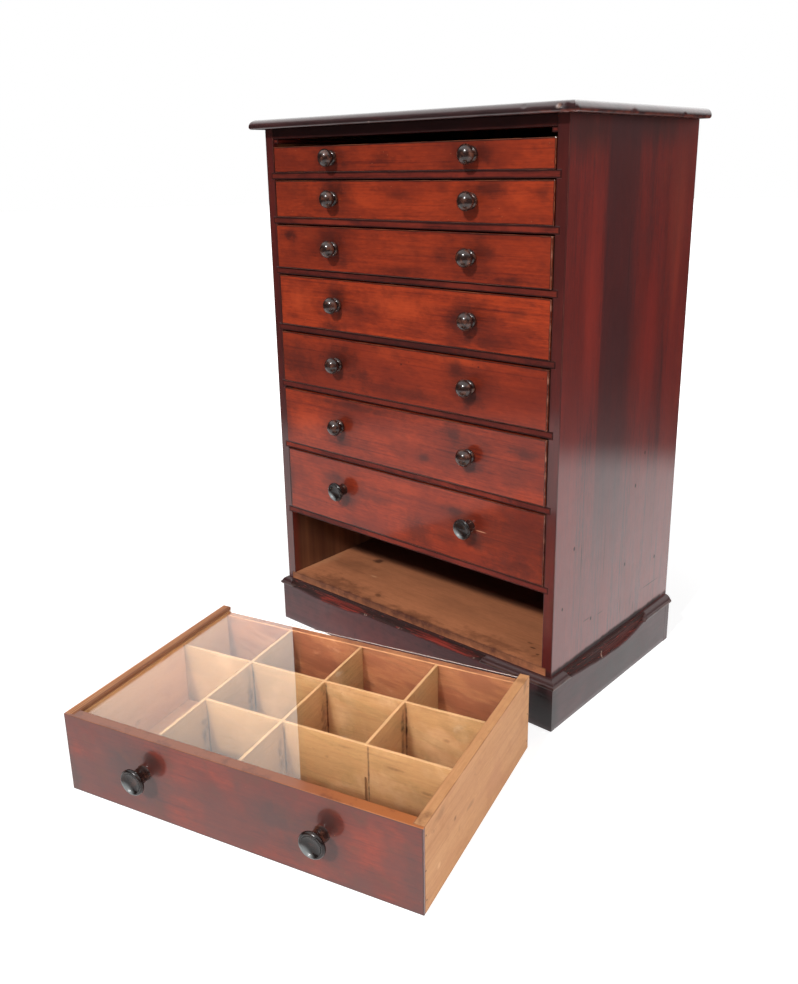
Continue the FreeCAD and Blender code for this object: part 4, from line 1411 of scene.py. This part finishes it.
class CABINET_OT_knobs(bpy.types.Operator):
    """Make the turned and ebonised knobs"""
    bl_idname = "cabinet.knobs"
    bl_label = "Knobs"

    def execute(self, context):
        for number in range(1, DRAWERS + 1):
            name, place = f"drawer_{number}", drawer_frame(number)
            height, spread, radius = knob_places(number)
            first, last = (place @ Vector((hand * spread, 0, height)) for hand in (-1, 1))
            pattern = turned_knob("knob_pattern", radius, number >= DISHED_FROM,
                                  context.scene.cabinet_detail.knob_steps)
            mesh = grown(knob_pair, points_mesh("knob_points", [(0, 0, 0)]), f"{name}_turned_knobs",
                         Start=first, Offset=last - first, Turn=place.to_euler(), Knob=pattern,
                         Material=finish_of(ebonised))
            bpy.data.objects.remove(pattern)
            piece(mesh, mesh.name, finish_of(ebonised), name, "ebonised_knob", [f"{name}_knobs"], 40)
        return {"FINISHED"}


# ---- Nail heads ----

NAIL_FROM_FRONT = 4.5       # behind the front, through the side into its thick part, mm
NAIL_FROM_BACK = 4.0        # before the rear edge, mm
NAIL_EDGE = 10.0            # from the upper and lower edges, mm
NAIL_DEPTH = 0.06           # half of which stands proud, mm
NAIL_JOG = 0.8              # how far a nail misses its place, mm
LOW_DRAWER = 60             # a drawer lower than this has two nails up a corner, not three, mm


class CABINET_OT_nails(bpy.types.Operator):
    """Make the nail heads that hold the drawers' corners"""
    bl_idname = "cabinet.nails"
    bl_label = "Nail heads"

    def execute(self, context):
        for number in range(1, DRAWERS + 1):
            place, draw = drawer_frame(number), random.Random(number)
            _, high = own_box(f"drawer_{number}_front", place)
            _, rear = own_box(f"drawer_{number}_glass", place)
            steps = shares(1 if high.z < LOW_DRAWER * MM else 2)
            places, ways = [], []
            for hand in (-1, 1):
                for run in (NAIL_FROM_FRONT * MM, rear.y - NAIL_FROM_BACK * MM):
                    for t in steps:
                        jog = draw.uniform(-NAIL_JOG, NAIL_JOG) * MM
                        z = NAIL_EDGE * MM + (high.z - 2 * NAIL_EDGE * MM) * t
                        places.append(place @ Vector((hand * high.x, run + jog, z + 2 * jog)))
                        ways.append(place.to_3x3() @ Vector((hand, 0, 0)))
            points = points_mesh("nail_points", places)
            store(points, "facing", ways)
            mesh = grown(nail_heads, points, f"drawer_{number}_nails", Depth=NAIL_DEPTH * MM,
                         Radius=context.scene.cabinet_detail.nail, Material=finish_of(nail_iron))
            piece(mesh, mesh.name, finish_of(nail_iron), f"drawer_{number}", "cedar_box")
        return {"FINISHED"}


# ---- Stage ----

# The view, in the cabinet's own millimetres and radians: place, heading, tilt, roll, lens and shift
EYE = (656.43, -745.27, 571.36)
HEADING, TILT, ROLL = 0.7302, 0.2937, -0.0187
LENS = 34.36
SHIFT = (0.0041, -0.0448)
FLOOR_RADIUS = 14.0
FLOOR_DROP = 0.05                       # below the feet, mm
POOL_EDGE = 0.86, 1.08                  # where the bright pool fades, in shares of its radius
LAMP_HIGH, KEY_FROM = (0, -2500, 2200), (0.1, -1.0, 0.8)    # the key light and the way to it
KEY_SPREAD = math.radians(4.5)
SIDE_LAMP, SIDE_AIM = (1500, -400, 900), (0, 0, 200)        # in the cabinet's own millimetres
SIDE_SIZE = 1.3


def make_camera(scene):
    camera = bpy.data.cameras.new("view")
    camera.lens, camera.sensor_width = LENS, 36.0
    camera.shift_x, camera.shift_y = SHIFT
    camera.clip_start = 0.01
    scene.camera = linked("view", camera)
    scene.camera.matrix_world = (
        Matrix.Translation(at(*EYE)) @ Matrix.Rotation(HEADING, 4, "Z")
        @ Matrix.Rotation(math.pi / 2 - TILT, 4, "X") @ Matrix.Rotation(ROLL, 4, "Z"))


def make_world(fill):
    """White to the eye, softly bright overhead to gloss and glass, and an even fill to the rest."""
    world = bpy.data.worlds.new("studio")
    world.use_nodes = True
    world.node_tree.nodes.clear()
    net = Net(world.node_tree)
    path = net.outs("ShaderNodeLightPath")
    _, back, up = net.split(net.add("ShaderNodeTexCoord", out="Generated"))
    overhead = net.ramp(back * 0.3 + up, 0.28, 0.62, 0.03, 1.5)
    shown = net.blend(path["Is Camera Ray"], overhead, 1.0)
    seen = net.math("MAXIMUM", path["Is Glossy Ray"], path["Is Transmission Ray"])
    seen = net.math("MAXIMUM", seen, path["Is Camera Ray"])
    light = net.add("ShaderNodeBackground", {"Color": "FFFFFF",
                                             "Strength": net.blend(seen, fill, shown)})
    net.node("ShaderNodeOutputWorld", {"Surface": light})
    return world


def floor_material(reach):
    """White to the eye, and to gloss a bright pool round the object that fades away."""
    material = bpy.data.materials.new("pale_floor")
    material.use_nodes = True
    material.node_tree.nodes.clear()
    net = Net(material.node_tree)
    path = net.outs("ShaderNodeLightPath")
    far = net.length(net.add("ShaderNodeTexCoord", out="Object"))
    gloss = path["Is Glossy Ray"]
    seen = net.math("MAXIMUM", path["Is Camera Ray"], path["Is Transmission Ray"])
    outside = net.ramp(far, *(reach * share for share in POOL_EDGE))
    glow = seen * net.ramp(far, 0.35, 1.0, 0.66, 1.0) + gloss * (1.0 - outside) * 0.61
    lift = net.add("ShaderNodeEmission", {"Color": "FFFFFF", "Strength": glow})
    matt = net.add("ShaderNodeBsdfDiffuse", {
        "Color": net.mix(outside * gloss, triple(0.66), triple(0.04))})
    net.node("ShaderNodeOutputMaterial", {
        "Surface": net.add("ShaderNodeAddShader", {0: matt, 1: lift})})
    return material


class CABINET_OT_stage(bpy.types.Operator):
    """Make the floor, the lamps, the surroundings and the camera"""
    bl_idname = "cabinet.stage"
    bl_label = "Stage"

    def execute(self, context):
        scene, stage = context.scene, context.scene.cabinet_stage
        scene.view_settings.view_transform = "Standard"
        bm = bmesh.new()
        bmesh.ops.create_circle(bm, cap_ends=True, radius=FLOOR_RADIUS, segments=96)
        bmesh.ops.translate(bm, verts=bm.verts, vec=(0, 0, -FLOOR_DROP * MM))
        floor = linked("floor", plain_mesh(bm, "floor"))
        floor.data.materials.append(floor_material(stage.floor_reach))
        key, side = bpy.data.lights.new("key", "SUN"), bpy.data.lights.new("side", "AREA")
        key.energy, key.angle = stage.key, KEY_SPREAD
        side.energy, side.shape, side.size = stage.side, "DISK", SIDE_SIZE
        for lamp, place, way in ((key, LAMP_HIGH, Vector(KEY_FROM)),
                                 (side, SIDE_LAMP, at(*SIDE_LAMP) - at(*SIDE_AIM))):
            holder = linked(lamp.name, lamp)
            holder.location = at(*place)
            holder.rotation_euler = way.to_track_quat("Z", "Y").to_euler()
            holder.visible_glossy = lamp is key
        scene.world = make_world(stage.fill)
        make_camera(scene)
        return {"FINISHED"}


# ---- Panel and registration ----

STEPS = ("carcase", "top", "plinth", "splinters", "closed_drawers", "loose_drawer", "knobs", "nails",
         "stage")


class CABINET_PT_panel(bpy.types.Panel):
    """Lists the cabinet's pieces and settings"""
    bl_idname = "CABINET_PT_panel"
    bl_label = "Collection cabinet"
    bl_space_type = "VIEW_3D"
    bl_region_type = "UI"
    bl_category = "Cabinet"

    def draw(self, context):
        layout = self.layout
        for step in STEPS:
            layout.operator(f"cabinet.{step}")
        for settings in (context.scene.cabinet_finish, context.scene.cabinet_detail,
                         context.scene.cabinet_stage):
            for key in settings.bl_rna.properties.keys()[2:]:
                layout.prop(settings, key)


CLASSES = (CabinetFinish, CabinetDetail, CabinetStage, CABINET_OT_carcase, CABINET_OT_top,
           CABINET_OT_plinth, CABINET_OT_splinters, CABINET_OT_closed_drawers,
           CABINET_OT_loose_drawer, CABINET_OT_knobs, CABINET_OT_nails, CABINET_OT_stage,
           CABINET_PT_panel)


def register():
    for cls in CLASSES:
        bpy.utils.register_class(cls)
    scene = bpy.types.Scene
    scene.cabinet_finish = bpy.props.PointerProperty(type=CabinetFinish)
    scene.cabinet_detail = bpy.props.PointerProperty(type=CabinetDetail)
    scene.cabinet_stage = bpy.props.PointerProperty(type=CabinetStage)


def unregister():
    for name in ("cabinet_finish", "cabinet_detail", "cabinet_stage"):
        delattr(bpy.types.Scene, name)
    for cls in reversed(CLASSES):
        bpy.utils.unregister_class(cls)


def main():
    register()
    for step in STEPS:
        getattr(bpy.ops.cabinet, step)()


if __name__ == "__main__":
    main()
